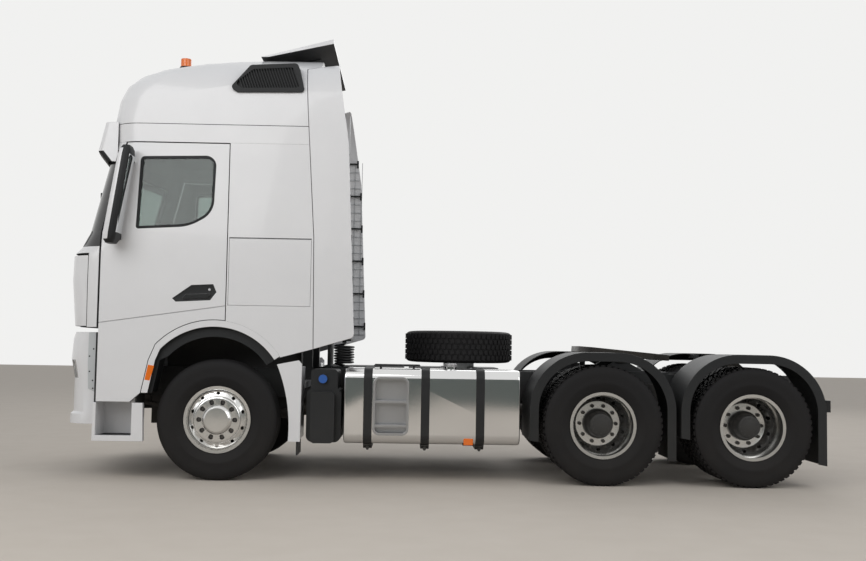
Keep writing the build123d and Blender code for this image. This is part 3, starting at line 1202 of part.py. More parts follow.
with BuildPart() as side_fairings:
    add(fairing_skin(FAIRING_THICKNESS, 0.0))
keep(side_fairings, "side_fairings")

# Roof deflector on its struts.
with BuildPart() as roof_deflector:
    with BuildSketch(Plane.XZ) as blade:
        with BuildLine():
            Polyline((FRONT_AXLE_X - 262, BUMP_TOP_Z + FIT), (FRONT_AXLE_X - 940, 4092), (FRONT_AXLE_X - 944, 4048),
                     (FRONT_AXLE_X - 330, BUMP_TOP_Z + FIT), close=True)
        make_face()
    extrude(amount=900, both=True)
    for side in (1, -1):
        with BuildSketch(Plane.XZ.offset(-side * 480)) as strut:
            with BuildLine():
                Polyline((FRONT_AXLE_X - 360, BUMP_TOP_Z + FIT), (FRONT_AXLE_X - 420, BUMP_TOP_Z + FIT), (FRONT_AXLE_X - 800, 4010),
                         (FRONT_AXLE_X - 740, 4010), close=True)
            make_face()
        extrude(amount=15, both=True)
keep(roof_deflector, "roof_deflector")

# Sun visor ahead of the windscreen's top edge.
VISOR_HALF = 1165.0
VISOR_WALL = 12.0
VISOR_BOW = 5000.0
VISOR_CORNER = 60.0
VISOR_REAR_X = FRONT_AXLE_X + 965.0
# Height of each visor section and its set-back behind the foremost panel
VISOR_SECTIONS = ((2845.0, 274.0), (2942.0, 195.0), (3205.0, 255.0))


def visor_hull(inset):
    """The visor's outline as a solid, inset from its outer skin."""
    sections = []
    for z, setback in VISOR_SECTIONS:
        front_x = FRONT_AXLE_X + FRONT_OVERHANG - setback - inset
        sections.append(
            plan_section(z, front_x, VISOR_HALF - inset, FRONT_AXLE_X + 700, VISOR_CORNER - inset,
                         VISOR_BOW - inset)
        )
    with BuildPart(mode=Mode.PRIVATE) as hull:
        loft(sections, ruled=True)
    return hull.part


with BuildPart() as sun_visor:
    add(visor_hull(0.0))
    add(visor_hull(VISOR_WALL), mode=Mode.SUBTRACT)
    with Locations((VISOR_REAR_X + 300, 0, 3020)):
        Box(600, 2600, 600, mode=Mode.INTERSECT)
    add(cab_hull(-FIT), mode=Mode.SUBTRACT)
    for bracket_y in (-1060, -500, 500, 1060):
        with BuildPart(mode=Mode.PRIVATE) as stay:
            with Locations((FRONT_AXLE_X + 1140, bracket_y, 3110)):
                Box(400, 30, 60)
            add(visor_hull(VISOR_WALL), mode=Mode.INTERSECT)
            add(roof_hull(-FIT), mode=Mode.SUBTRACT)
        add(stay.part)
keep(sun_visor, "sun_visor")

# Beacons on the roof's shoulders.
BEACON_X = FRONT_AXLE_X + 500.0
BEACON_Y = 600.0
with BuildPart() as beacons:
    for side in (1, -1):
        with Locations((BEACON_X, side * BEACON_Y, 3815)):
            Cylinder(62, 70)
        with Locations((BEACON_X, side * BEACON_Y, 3895)):
            Cylinder(50, 110)
    add(roof_hull(-FIT), mode=Mode.SUBTRACT)
keep(beacons, "beacons")

# Wheel arch bands flush with the cab side, with a liner behind them.
def arch_band(outer, inner, outer_leg, inner_leg):
    """Side view of a band that follows the wheel arch between two radii."""
    rear, crown, front, knee, foot = arch_edge(outer, outer_leg, ARCH_FOOT_Z)
    rear_in, crown_in, front_in, knee_in, foot_in = arch_edge(inner, inner_leg, ARCH_FOOT_Z)
    with BuildSketch(Plane.XZ) as face:
        with BuildLine():
            Polyline(foot, knee, front)
            ThreePointArc(front, crown, rear)
            Line(rear, rear_in)
            ThreePointArc(rear_in, crown_in, front_in)
            Polyline(front_in, knee_in, foot_in, foot)
        make_face()
    return face.sketch


ARCH_BANDS = (
    (ARCH_RADIUS + ARCH_BAND, ARCH_RADIUS, 0.0, -ARCH_BAND, INNER_HALF, HALF_WIDTH),
    (ARCH_RADIUS + 10, ARCH_RADIUS - ARCH_LIP, -ARCH_BAND + 10, -ARCH_BAND - 30, INNER_HALF - 25, INNER_HALF),
    (ARCH_RADIUS + 10, ARCH_RADIUS, -ARCH_BAND + 10, -ARCH_BAND, 860.0, INNER_HALF),
)
with BuildPart() as wheel_arches:
    for side in (1, -1):
        for outer, inner, outer_leg, inner_leg, near_y, far_y in ARCH_BANDS:
            face = arch_band(outer, inner, outer_leg, inner_leg)
            extrude(Plane.XZ.offset(-side * near_y).location * Plane.XZ.location.inverse() * face,
                    amount=-side * (far_y - near_y))
        with Locations((ARCH_X, side * (INNER_HALF - 250), CAB_BOTTOM_Z - FIT + 40)):
            Box(1300, 500, 80, mode=Mode.SUBTRACT)
keep(wheel_arches, "wheel_arches")

# Inside the cab: dashboard with its wheel, seats and the bunk behind them.
CAB_FLOOR_Z = CAB_BOTTOM_Z + FLOOR_THICKNESS
WHEEL_Y = 600.0
with BuildPart() as dashboard:
    with BuildSketch(Plane.XZ) as dash:
        with BuildLine():
            Polyline((FRONT_AXLE_X + 1400, 1900), (FRONT_AXLE_X + 1400, 2140), (FRONT_AXLE_X + 1000, 2130),
                     (FRONT_AXLE_X + 900, 2040), (FRONT_AXLE_X + 920, 1800), (FRONT_AXLE_X + 1100, 1720), close=True)
        make_face()
    extrude(amount=1130, both=True)
    add(cab_hull(PANEL + 8), mode=Mode.INTERSECT)
    with Locations((FRONT_AXLE_X + 1130, 0, (CAB_FLOOR_Z + FIT + 1780) / 2)):
        Box(120, 500, 1780 - CAB_FLOOR_Z - FIT)
    column = Plane(origin=(FRONT_AXLE_X + 930, WHEEL_Y, 1950), z_dir=(-1, 0, 0.75))
    with Locations(column.location):
        Cylinder(35, 220, align=(Align.CENTER, Align.CENTER, Align.MIN))
    with Locations(column.offset(210).location):
        Cylinder(60, 30)
        Torus(215, 16)
        Box(420, 40, 14)
keep(dashboard, "dashboard")

with BuildPart() as seats:
    for side in (1, -1):
        with Locations((FRONT_AXLE_X + 190, side * 640, (CAB_FLOOR_Z + FIT + 1700) / 2)):
            Box(380, 380, 1700 - CAB_FLOOR_Z - FIT)
        with Locations((FRONT_AXLE_X + 220, side * 640, 1770)):
            Box(520, 520, 140)
        with BuildSketch(Plane.XZ.offset(-side * 640)) as rest:
            with BuildLine():
                Polyline((FRONT_AXLE_X + 20, 1800), (FRONT_AXLE_X - 110, 1800), (FRONT_AXLE_X - 190, 2450),
                         (FRONT_AXLE_X - 180, 2680), (FRONT_AXLE_X - 90, 2690), (FRONT_AXLE_X - 60, 2440), close=True)
            make_face()
        extrude(amount=240, both=True)
    with Locations((CAB_BACK_X + PANEL + FIT + 250, 0, 1880)):
        Box(500, 2 * INNER_HALF - 2 * FIT, 140)
keep(seats, "seats")


# Steering knuckles on their kingpins, and the tie rod behind the axle.
YOKE_THICKNESS = 40.0
YOKE_GAP = 2.0
HUB_INNER_Y = 985.0
for side_name, side in (("left", 1), ("right", -1)):
    with BuildPart() as knuckle:
        for up in (1, -1):
            yoke_z = AXLE_Z + up * (BOSS_HEIGHT / 2 + YOKE_GAP + YOKE_THICKNESS / 2)
            with Locations((FRONT_AXLE_X, side * KINGPIN_Y, yoke_z)):
                Cylinder(BOSS_RADIUS, YOKE_THICKNESS)
            with Locations((FRONT_AXLE_X, side * (KINGPIN_Y + 40), yoke_z)):
                Box(90, 80, YOKE_THICKNESS)
        with Locations((FRONT_AXLE_X, side * (KINGPIN_Y + 72), AXLE_Z)):
            Box(110, 24, BOSS_HEIGHT + 2 * (YOKE_GAP + YOKE_THICKNESS))
        with Locations((FRONT_AXLE_X, side * KINGPIN_Y, AXLE_Z)):
            Cylinder(KINGPIN_RADIUS, BOSS_HEIGHT + 2 * (YOKE_GAP + YOKE_THICKNESS))
        with Locations(Location((FRONT_AXLE_X, side * (KINGPIN_Y + 70 + 110), AXLE_Z), (90, 0, 0))):
            Cylinder(SPINDLE_RADIUS, 220)
        # Steering arm back to the tie rod's pin
        with BuildSketch(Plane.XY.offset(TIE_ROD_Z + 24)) as arm:
            with BuildLine():
                Polyline((FRONT_AXLE_X + 20, side * (KINGPIN_Y + 30)), (FRONT_AXLE_X - STEER_ARM - 30, side * (TIE_ROD_Y + 25)),
                         (FRONT_AXLE_X - STEER_ARM - 30, side * (TIE_ROD_Y - 25)), (FRONT_AXLE_X + 20, side * (KINGPIN_Y - 30)),
                         close=True)
            make_face()
        extrude(amount=AXLE_Z - BOSS_HEIGHT / 2 - YOKE_GAP - TIE_ROD_Z - 24)
        with Locations((FRONT_AXLE_X - STEER_ARM, side * TIE_ROD_Y, TIE_ROD_Z + 5)):
            Cylinder(12, 50)
    keep(knuckle, f"knuckle_{side_name}")

with BuildPart() as tie_rod:
    with Locations(Location((FRONT_AXLE_X - STEER_ARM, 0, TIE_ROD_Z), (90, 0, 0))):
        Cylinder(18, 2 * TIE_ROD_Y - 60)
    for side in (1, -1):
        with Locations((FRONT_AXLE_X - STEER_ARM, side * TIE_ROD_Y, TIE_ROD_Z)):
            Cylinder(32, 40)
            Cylinder(12 + PIN_FIT, 40, mode=Mode.SUBTRACT)
keep(tie_rod, "tie_rod")


def wheel_plane(x, y, side):
    """A plane on a wheel's middle, its normal pointing away from the vehicle."""
    return Plane(origin=(x, side * y, AXLE_Z), x_dir=(1, 0, 0), z_dir=(0, side, 0))


# Rim section as radius and distance outward from the rim's middle plane
RIM_SECTION = (
    (RIM_SEAT_RADIUS, -RIM_HALF_WIDTH + RIM_FLANGE), (RIM_FLANGE_RADIUS, -RIM_HALF_WIDTH + RIM_FLANGE),
    (RIM_FLANGE_RADIUS, -RIM_HALF_WIDTH), (RIM_SEAT_RADIUS - RIM_WALL, -RIM_HALF_WIDTH),
    (262, -100), (262, 100), (RIM_SEAT_RADIUS - RIM_WALL, RIM_HALF_WIDTH),
    (RIM_FLANGE_RADIUS, RIM_HALF_WIDTH), (RIM_FLANGE_RADIUS, RIM_HALF_WIDTH - RIM_FLANGE),
    (RIM_SEAT_RADIUS, RIM_HALF_WIDTH - RIM_FLANGE),
)


def tyre_solid(plane):
    """One tyre about a plane's normal."""
    with BuildPart(mode=Mode.PRIVATE) as tyre:
        with BuildSketch(Plane.XZ) as section:
            with BuildLine():
                Polyline(*tyre_profile(), close=True)
            make_face()
        revolve(axis=Axis.Z)
    return plane.location * tyre.part


def rim_solid(plane, disc_at, outward):
    """A rim with its disc at a distance from the middle plane, dished toward it."""
    with BuildPart(mode=Mode.PRIVATE) as rim:
        with BuildSketch(Plane.XZ) as section:
            with BuildLine():
                Polyline(*RIM_SECTION, close=True)
            make_face()
        revolve(axis=Axis.Z)
        face = disc_at - outward * DISC_THICKNESS
        root = disc_at - outward * DISH_DEPTH
        with BuildSketch(Plane.XZ) as dish:
            with BuildLine():
                Polyline((60, disc_at), (215, disc_at), (262, root), (268, root - outward * 14),
                         (250, root - outward * 14), (208, face), (60, face), close=True)
            make_face()
        revolve(axis=Axis.Z)
    return plane.location * rim.part


HUB_RADIUS = 135.0
FRONT_DISC_AT = 120.0
for side_name, side in (("left", 1), ("right", -1)):
    with BuildPart() as front_tyre:
        add(tyre_solid(wheel_plane(FRONT_AXLE_X, FRONT_TYRE_Y, side)))
    keep(front_tyre, f"front_tyre_{side_name}")
    with BuildPart() as front_rim:
        add(rim_solid(wheel_plane(FRONT_AXLE_X, FRONT_TYRE_Y, side), FRONT_DISC_AT, 1))
        hub_start = HUB_INNER_Y
        hub_end = FRONT_TYRE_Y + FRONT_DISC_AT - DISC_THICKNESS
        with Locations(Location((FRONT_AXLE_X, side * (hub_start + hub_end) / 2, AXLE_Z), (90, 0, 0))):
            Cylinder(HUB_RADIUS, hub_end - hub_start + 4)
        with Locations(Location((FRONT_AXLE_X, side * (FRONT_TYRE_Y + FRONT_DISC_AT + 25), AXLE_Z), (90, 0, 0))):
            Cylinder(100, 54)
        with Locations(Location((FRONT_AXLE_X, side * (hub_start + 100), AXLE_Z), (90, 0, 0))):
            Cylinder(SPINDLE_RADIUS + PIN_FIT, 204, mode=Mode.SUBTRACT)
    keep(front_rim, f"front_rim_{side_name}")

for number, axle_x in enumerate(DRIVE_AXLE_X, start=1):
    for side_name, side in (("left", 1), ("right", -1)):
        with BuildPart() as drive_wheel:
            for tyre_y in (OUTER_TYRE_Y, INNER_TYRE_Y):
                add(tyre_solid(wheel_plane(axle_x, tyre_y, side)))
            add(rim_solid(wheel_plane(axle_x, OUTER_TYRE_Y, side), -DISC_OFFSET, -1))
            add(rim_solid(wheel_plane(axle_x, INNER_TYRE_Y, side), DISC_OFFSET, 1))
            hub_low = TUBE_END_Y + 8
            hub_high = OUTER_TYRE_Y + 30
            with Locations(Location((axle_x, side * (hub_low + hub_high) / 2, AXLE_Z), (90, 0, 0))):
                Cylinder(HUB_RADIUS, hub_high - hub_low)
            with Locations(Location((axle_x, side * (hub_low + 90), AXLE_Z), (90, 0, 0))):
                Cylinder(200, 180)
            with Locations(Location((axle_x, side * (hub_low + SPINDLE_END_Y + 4) / 2, AXLE_Z), (90, 0, 0))):
                Cylinder(SPINDLE_RADIUS + PIN_FIT, SPINDLE_END_Y + 4 - hub_low + 2, mode=Mode.SUBTRACT)
        keep(drive_wheel, f"drive_wheel_{number}_{side_name}")
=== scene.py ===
# %% [markdown]
# # A three-axle tractor unit, dressed over its CAD frame
# The solids come from the CAD model, and each real surface gets its finish here. The frame is loaded
# first, because every later cell places its pieces in the frame's own metres.

# %% Load the frame
import json
import math

import bmesh
import bpy
from mathutils import Euler, Matrix, Vector

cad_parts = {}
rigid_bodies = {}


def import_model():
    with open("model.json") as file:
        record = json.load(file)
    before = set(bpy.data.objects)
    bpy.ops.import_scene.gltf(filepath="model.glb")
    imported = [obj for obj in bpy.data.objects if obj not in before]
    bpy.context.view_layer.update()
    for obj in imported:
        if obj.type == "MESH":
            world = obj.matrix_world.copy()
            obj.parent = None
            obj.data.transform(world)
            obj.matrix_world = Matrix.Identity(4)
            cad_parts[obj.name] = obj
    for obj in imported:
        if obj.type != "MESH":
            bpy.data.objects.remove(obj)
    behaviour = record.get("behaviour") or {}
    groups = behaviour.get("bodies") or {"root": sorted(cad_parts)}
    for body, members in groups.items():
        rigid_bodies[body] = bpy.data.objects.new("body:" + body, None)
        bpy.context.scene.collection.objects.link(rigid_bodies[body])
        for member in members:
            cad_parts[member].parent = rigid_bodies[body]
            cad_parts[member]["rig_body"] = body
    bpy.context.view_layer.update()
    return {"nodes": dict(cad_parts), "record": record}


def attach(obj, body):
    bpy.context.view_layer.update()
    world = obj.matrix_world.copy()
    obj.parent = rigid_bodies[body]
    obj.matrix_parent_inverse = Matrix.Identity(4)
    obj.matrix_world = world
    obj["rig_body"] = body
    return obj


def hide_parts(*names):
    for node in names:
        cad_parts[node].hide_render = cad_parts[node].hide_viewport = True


for leftover in list(bpy.data.objects):
    bpy.data.objects.remove(leftover, do_unlink=True)
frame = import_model()
scene = bpy.context.scene
scene.view_settings.view_transform = "Standard"

# %% [markdown]
# ## Places on the vehicle
# A truck is drawn from its front axle, so places along it are given as millimetres ahead of that axle.
# `at` turns such a place into metres in the frame.

# %% Reference places
FRONT_AXLE = 2.0325
DRIVE_AXLES = (FRONT_AXLE - 3.450, FRONT_AXLE - 4.800)
AXLE_HEIGHT = 0.538
SIDES = (("left", 1), ("right", -1))


def at(ahead, left, up):
    """A place in metres, from millimetres ahead of the front axle, left and up."""
    return Vector((FRONT_AXLE + ahead / 1000, left / 1000, up / 1000))


print("axles at", FRONT_AXLE, *[round(axle, 4) for axle in DRIVE_AXLES])


# %% [markdown]
# ## The camera
# The photograph looks at the left side from about ten metres away and 1.2 m above the ground, and tilts up
# a little. The lens and angles could be tried by eye, but here they are fitted to known points of the
# vehicle and to upright lines, so that the render lies over the photograph.

# %% Camera
camera_data = bpy.data.cameras.new("side_camera")
camera_data.sensor_width = 36.0
camera_data.lens = 43.247
camera = bpy.data.objects.new("side_camera", camera_data)
camera.location = (0.32901, 10.55245, 1.22619)
camera.rotation_euler = Euler((math.radians(93.5956), math.radians(-0.9318), math.radians(178.7057)))
scene.collection.objects.link(camera)
scene.camera = camera
print("camera at", *[round(place, 2) for place in camera.location], "lens", round(camera_data.lens, 2))

# %% [markdown]
# ## Shader groups
# Dust, grain and streaks show on many finishes, so each is a node group that is built once. A group only
# puts out masks and heights, and each material decides what they do to its colour, roughness and bump.

# %% Group helpers


def new_group(name, inputs, outputs):
    """An empty shader group with named number inputs and outputs."""
    group = bpy.data.node_groups.new(name, "ShaderNodeTree")
    for label, default in inputs:
        socket = group.interface.new_socket(name=label, in_out="INPUT", socket_type="NodeSocketFloat")
        socket.default_value = default
    for label in outputs:
        group.interface.new_socket(name=label, in_out="OUTPUT", socket_type="NodeSocketFloat")
    return group, group.nodes.new("NodeGroupInput"), group.nodes.new("NodeGroupOutput")


def feed(tree, value, socket):
    """Give a socket its value: another node's output, a plain number or a colour."""
    if hasattr(value, "is_output"):
        tree.links.new(value, socket)
    else:
        socket.default_value = (*value, 1.0) if isinstance(value, tuple) else value


def math_node(tree, operation, first, second, clamp=False):
    """One maths node whose inputs are sockets or plain numbers."""
    node = tree.nodes.new("ShaderNodeMath")
    node.operation = operation
    node.use_clamp = clamp
    feed(tree, first, node.inputs[0])
    feed(tree, second, node.inputs[1])
    return node.outputs[0]


def noise_node(tree, vector, scale, detail):
    """One noise texture whose scale is a socket or a plain number."""
    node = tree.nodes.new("ShaderNodeTexNoise")
    node.inputs["Detail"].default_value = detail
    feed(tree, vector, node.inputs["Vector"])
    feed(tree, scale, node.inputs["Scale"])
    return node.outputs["Fac"]


# %% [markdown]
# ### Grain
# Moulded plastic, rubber and cast metal all have a fine random grain. A picture of it would need the
# pieces unwrapped, while noise on Object coordinates needs nothing and stays fixed to the piece. The group
# gives a height for bump and a softer blotch for colour.

# %% Grain group
grain_group, grain_in, grain_out = new_group(
    "grain", (("Size per metre", 400.0), ("Blotch per metre", 3.0)), ("Height", "Blotch"))
grain_place = grain_group.nodes.new("ShaderNodeTexCoord")
for label, output in (("Size per metre", "Height"), ("Blotch per metre", "Blotch")):
    grain_noise = noise_node(grain_group, grain_place.outputs["Object"], grain_in.outputs[label], 4.0)
    grain_group.links.new(grain_noise, grain_out.inputs[output])
print("grain nodes", len(grain_group.nodes))

# %% [markdown]
# ### Road dust
# Dust gathers low on a vehicle and fades upward. The mask is one below a low height and nought above a
# high one, and noise breaks its edge up.

# %% Road dust group
dust_group, dust_in, dust_out = new_group(
    "road_dust", (("Low", 0.2), ("High", 1.2), ("Amount", 0.5)), ("Mask",))
dust_place = dust_group.nodes.new("ShaderNodeTexCoord")
dust_split = dust_group.nodes.new("ShaderNodeSeparateXYZ")
dust_group.links.new(dust_place.outputs["Object"], dust_split.inputs[0])
dust_noise = noise_node(dust_group, dust_place.outputs["Object"], 5.0, 6.0)
dust_span = math_node(dust_group, "SUBTRACT", dust_in.outputs["High"], dust_in.outputs["Low"])
dust_rise = math_node(dust_group, "SUBTRACT", dust_in.outputs["High"], dust_split.outputs["Z"])
dust_ramp = math_node(dust_group, "DIVIDE", dust_rise, dust_span, clamp=True)
dust_ramp = math_node(dust_group, "MULTIPLY", dust_ramp, dust_noise)
dust_ramp = math_node(dust_group, "MULTIPLY", dust_ramp, dust_in.outputs["Amount"], clamp=True)
dust_group.links.new(dust_ramp, dust_out.inputs["Mask"])
print("dust nodes", len(dust_group.nodes))

# %% [markdown]
# ### Brushed streaks
# Drawn and polished metal carries fine parallel streaks. Noise that is stretched along one axis by a
# Mapping node gives them, so each material says which way its metal was worked.

# %% Streak group
streak_group, streak_in, streak_out = new_group(
    "streaks", (("Along X", 1.0), ("Along Y", 1.0), ("Along Z", 200.0)), ("Height",))
streak_place = streak_group.nodes.new("ShaderNodeTexCoord")
streak_scale = streak_group.nodes.new("ShaderNodeCombineXYZ")
for axis_name in "XYZ":
    streak_group.links.new(streak_in.outputs["Along " + axis_name], streak_scale.inputs[axis_name])
streak_map = streak_group.nodes.new("ShaderNodeMapping")
streak_group.links.new(streak_place.outputs["Object"], streak_map.inputs["Vector"])
streak_group.links.new(streak_scale.outputs[0], streak_map.inputs["Scale"])
streak_noise = noise_node(streak_group, streak_map.outputs[0], 1.0, 3.0)
streak_group.links.new(streak_noise, streak_out.inputs["Height"])
print("streak nodes", len(streak_group.nodes))

# %% [markdown]
# ## One recipe for the finishes
# Most finishes are a base colour that noise shifts a little, dust over it, and a bump from the grain.
# `finish` sets one up from plain numbers, and constant values go straight on the shader's sockets.

# %% Finish helper
DUST_COLOUR = (0.36, 0.31, 0.25)


def use_group(tree, group, **values):
    """Place a shader group in a material with its own values."""
    node = tree.nodes.new("ShaderNodeGroup")
    node.node_tree = group
    for label, value in values.items():
        node.inputs[label.replace("_", " ")].default_value = value
    return node


def mix_colour(tree, factor, first, second):
    """Blend two colours, each a socket or a plain colour, by a mask."""
    node = tree.nodes.new("ShaderNodeMix")
    node.data_type = "RGBA"
    tree.links.new(factor, node.inputs["Factor"])
    feed(tree, first, node.inputs[6])
    feed(tree, second, node.inputs[7])
    return node.outputs[2]


def finish(name, colour, second, roughness, grain=400.0, bump=0.1, depth=0.0005, blotch=3.0,
           dust=0.0, dust_high=1.2, rough_change=0.15, metallic=0.0, coat=0.0, specular=0.5, streaks=None):
    """A procedural finish: two close colours, low dust, uneven gloss and a fine bump."""
    material = bpy.data.materials.new(name)
    material.use_nodes = True
    tree = material.node_tree
    shader = tree.nodes["Principled BSDF"]
    shader.inputs["Metallic"].default_value = metallic
    shader.inputs["Coat Weight"].default_value = coat
    shader.inputs["Specular IOR Level"].default_value = specular
    shader.inputs["Coat Roughness"].default_value = 0.05
    grains = use_group(tree, grain_group, Size_per_metre=grain, Blotch_per_metre=blotch)
    shade = mix_colour(tree, grains.outputs["Blotch"], colour, second)
    rough = math_node(tree, "MULTIPLY", grains.outputs["Blotch"], rough_change)
    rough = math_node(tree, "ADD", rough, roughness - rough_change / 2, clamp=True)
    if dust > 0:
        dusty = use_group(tree, dust_group, High=dust_high, Amount=dust)
        shade = mix_colour(tree, dusty.outputs["Mask"], shade, DUST_COLOUR)
        dulled = math_node(tree, "MULTIPLY", dusty.outputs["Mask"], 0.4)
        rough = math_node(tree, "ADD", rough, dulled, clamp=True)
    tree.links.new(shade, shader.inputs["Base Color"])
    tree.links.new(rough, shader.inputs["Roughness"])
    height = grains.outputs["Height"]
    if streaks:
        lines = use_group(tree, streak_group, Along_X=streaks[0], Along_Y=streaks[1], Along_Z=streaks[2])
        height = lines.outputs["Height"]
    bumper_node = tree.nodes.new("ShaderNodeBump")
    bumper_node.inputs["Strength"].default_value = bump
    bumper_node.inputs["Distance"].default_value = depth
    tree.links.new(height, bumper_node.inputs["Height"])
    tree.links.new(bumper_node.outputs[0], shader.inputs["Normal"])
    return material


# %% [markdown]
# ## The finishes of this vehicle
# The vehicle has white clear-coated paint, black plastics, tyre rubber, polished and brushed metals and
# tinted glass. Colours are judged against the photograph and written in linear light.

# %% Finishes
white_paint = finish("white_paint", (0.80, 0.80, 0.81), (0.74, 0.74, 0.75), 0.30, grain=260.0, bump=0.03,
                     depth=0.0004, dust=0.12, dust_high=0.9, rough_change=0.08, coat=0.4)
# A mid grey: the real grey of the fairings' ribbed inner side, and on the recessed bumper strip a painted
# shade.
grey_and_shade_paint = finish("ribs_grey_and_strip_shade", (0.56, 0.58, 0.59), (0.50, 0.52, 0.53), 0.42, grain=500.0, bump=0.08,
                    dust=0.35, dust_high=1.0)
frame_paint = finish("frame_paint", (0.012, 0.013, 0.014), (0.020, 0.021, 0.022), 0.50, grain=300.0,
                     bump=0.15, dust=0.16, dust_high=1.0, specular=0.4)
black_plastic = finish("black_plastic", (0.010, 0.011, 0.012), (0.017, 0.018, 0.019), 0.52, grain=900.0,
                       bump=0.35, depth=0.0006, dust=0.05, dust_high=1.0, specular=0.3)
gloss_plastic = finish("gloss_black_plastic", (0.010, 0.010, 0.011), (0.014, 0.014, 0.015), 0.20, grain=700.0,
                       bump=0.03, coat=0.5)
tyre_rubber = finish("tyre_rubber", (0.009, 0.009, 0.010), (0.015, 0.014, 0.014), 0.68, grain=500.0, bump=0.4,
                     depth=0.0008, dust=0.03, dust_high=0.9, specular=0.2)
hose_rubber = finish("hose_rubber", (0.012, 0.012, 0.013), (0.020, 0.020, 0.021), 0.45, grain=900.0,
                     bump=0.15)
polished_metal = finish("polished_metal", (0.80, 0.80, 0.79), (0.66, 0.66, 0.65), 0.20, grain=60.0, bump=0.12,
                        depth=0.0006, metallic=1.0, dust=0.25, dust_high=0.9, streaks=(30.0, 4.0, 30.0))
tank_metal = finish("tank_metal", (0.80, 0.80, 0.80), (0.74, 0.74, 0.74), 0.10, grain=40.0, bump=0.03,
                    depth=0.0006, rough_change=0.05, metallic=1.0, blotch=1.5, streaks=(6.0, 400.0, 400.0))
cast_metal = finish("cast_metal", (0.045, 0.045, 0.047), (0.075, 0.072, 0.068), 0.60, grain=250.0, bump=0.5,
                    depth=0.0012, metallic=0.6, dust=0.3, dust_high=1.0)
greased_metal = finish("greased_metal", (0.030, 0.028, 0.026), (0.055, 0.050, 0.045), 0.38, grain=90.0,
                       bump=0.35, depth=0.0012, metallic=0.7)
bright_steel = finish("bright_steel", (0.55, 0.55, 0.56), (0.42, 0.42, 0.43), 0.32, grain=500.0, bump=0.1,
                      metallic=1.0)
seat_fabric = finish("seat_fabric", (0.10, 0.10, 0.11), (0.15, 0.15, 0.16), 0.90, grain=1500.0, bump=0.6,
                     depth=0.0008)
trim_plastic = finish("trim_plastic", (0.13, 0.13, 0.135), (0.17, 0.17, 0.175), 0.65, grain=1100.0, bump=0.3)
radiator_core = finish("radiator_core", (0.02, 0.02, 0.022), (0.05, 0.05, 0.052), 0.5, bump=0.9, depth=0.004,
                       metallic=0.6, streaks=(1.0, 600.0, 4.0))
amber_lens = finish("amber_lens", (0.90, 0.20, 0.015), (0.80, 0.15, 0.01), 0.15, grain=90.0, bump=0.15,
                    coat=0.4)
red_lens = finish("red_lens", (0.55, 0.01, 0.01), (0.42, 0.008, 0.008), 0.15, grain=90.0, bump=0.15,
                  coat=0.4)
blue_cap = finish("blue_cap", (0.03, 0.12, 0.42), (0.02, 0.09, 0.34), 0.35, grain=500.0, bump=0.2)


def glassy(name, colour, roughness, weight):
    """Clear or tinted glass with a faint waviness in its gloss."""
    material = finish(name, colour, tuple(c * 0.9 for c in colour), roughness, grain=6.0, bump=0.02,
                      depth=0.0006, rough_change=0.02)
    shader = material.node_tree.nodes["Principled BSDF"]
    shader.inputs["Transmission Weight"].default_value = weight
    shader.inputs["IOR"].default_value = 1.45
    return material


tinted_glass = glassy("tinted_glass", (0.42, 0.50, 0.47), 0.03, 0.92)
clear_lens = glassy("clear_lens", (0.92, 0.94, 0.95), 0.04, 0.85)
mirror_glass = finish("mirror_glass", (0.85, 0.87, 0.88), (0.80, 0.82, 0.84), 0.04, bump=0.0, metallic=1.0,
                      rough_change=0.02)
print("finishes", len(bpy.data.materials))

# %% [markdown]
# ## Putting pieces in the scene
# Every piece is a bmesh that becomes one object at the origin, so its place is in its mesh. Edges sharper
# than a limit stay sharp and the rest are shaded smooth. The piece then rides on a CAD body.

# %% Piece helpers
MERGE_GAP = 0.00005


def shade_by_angle(mesh, degrees):
    """Smooth shading that keeps edges sharper than the limit."""
    limit = math.radians(degrees)
    for face in mesh.faces:
        face.smooth = True
    for edge in mesh.edges:
        edge.smooth = len(edge.link_faces) == 2 and edge.calc_face_angle(0.0) < limit


def as_object(name, mesh, materials):
    """Put a bmesh in the scene as an object with its materials in order."""
    data = bpy.data.meshes.new(name)
    mesh.to_mesh(data)
    mesh.free()
    for material in materials:
        data.materials.append(material)
    made = bpy.data.objects.new(name, data)
    scene.collection.objects.link(made)
    return made


def place(name, mesh, body, material, slot_name, angle=32.0, bevel=0.0, segments=2, materials=()):
    """Turn a bmesh into a finished object that rides on a CAD body."""
    shade_by_angle(mesh, angle)
    piece = as_object(name, mesh, (material, *materials))
    if bevel > 0:
        modifier = piece.modifiers.new("soft_edges", "BEVEL")
        modifier.width = bevel
        modifier.segments = segments
        modifier.limit_method = "ANGLE"
        modifier.angle_limit = math.radians(angle)
        modifier.use_clamp_overlap = True
        modifier.harden_normals = True
    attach(piece, body)
    return piece


def block(mesh, low, high):
    """Add a box between two corners and return its vertices."""
    made = bmesh.ops.create_cube(mesh, size=1.0)["verts"]
    size = [high[i] - low[i] for i in range(3)]
    middle = [(high[i] + low[i]) / 2 for i in range(3)]
    bmesh.ops.scale(mesh, verts=made, vec=size)
    bmesh.ops.translate(mesh, verts=made, vec=middle)
    return made


def box(low, high):
    """A bmesh that is one box between two corners."""
    mesh = bmesh.new()
    block(mesh, low, high)
    return mesh


def drum(mesh, centre, axis, radius, length, sides=32, top=None):
    """Add a closed cylinder or cone about an axis and return its vertices."""
    made = bmesh.ops.create_cone(mesh, cap_ends=True, segments=sides, radius1=radius,
                                 radius2=radius if top is None else top, depth=length)["verts"]
    turn = Vector((0, 0, 1)).rotation_difference(Vector(axis)).to_matrix()
    bmesh.ops.rotate(mesh, verts=made, matrix=turn, cent=(0, 0, 0))
    bmesh.ops.translate(mesh, verts=made, vec=centre)
    return made


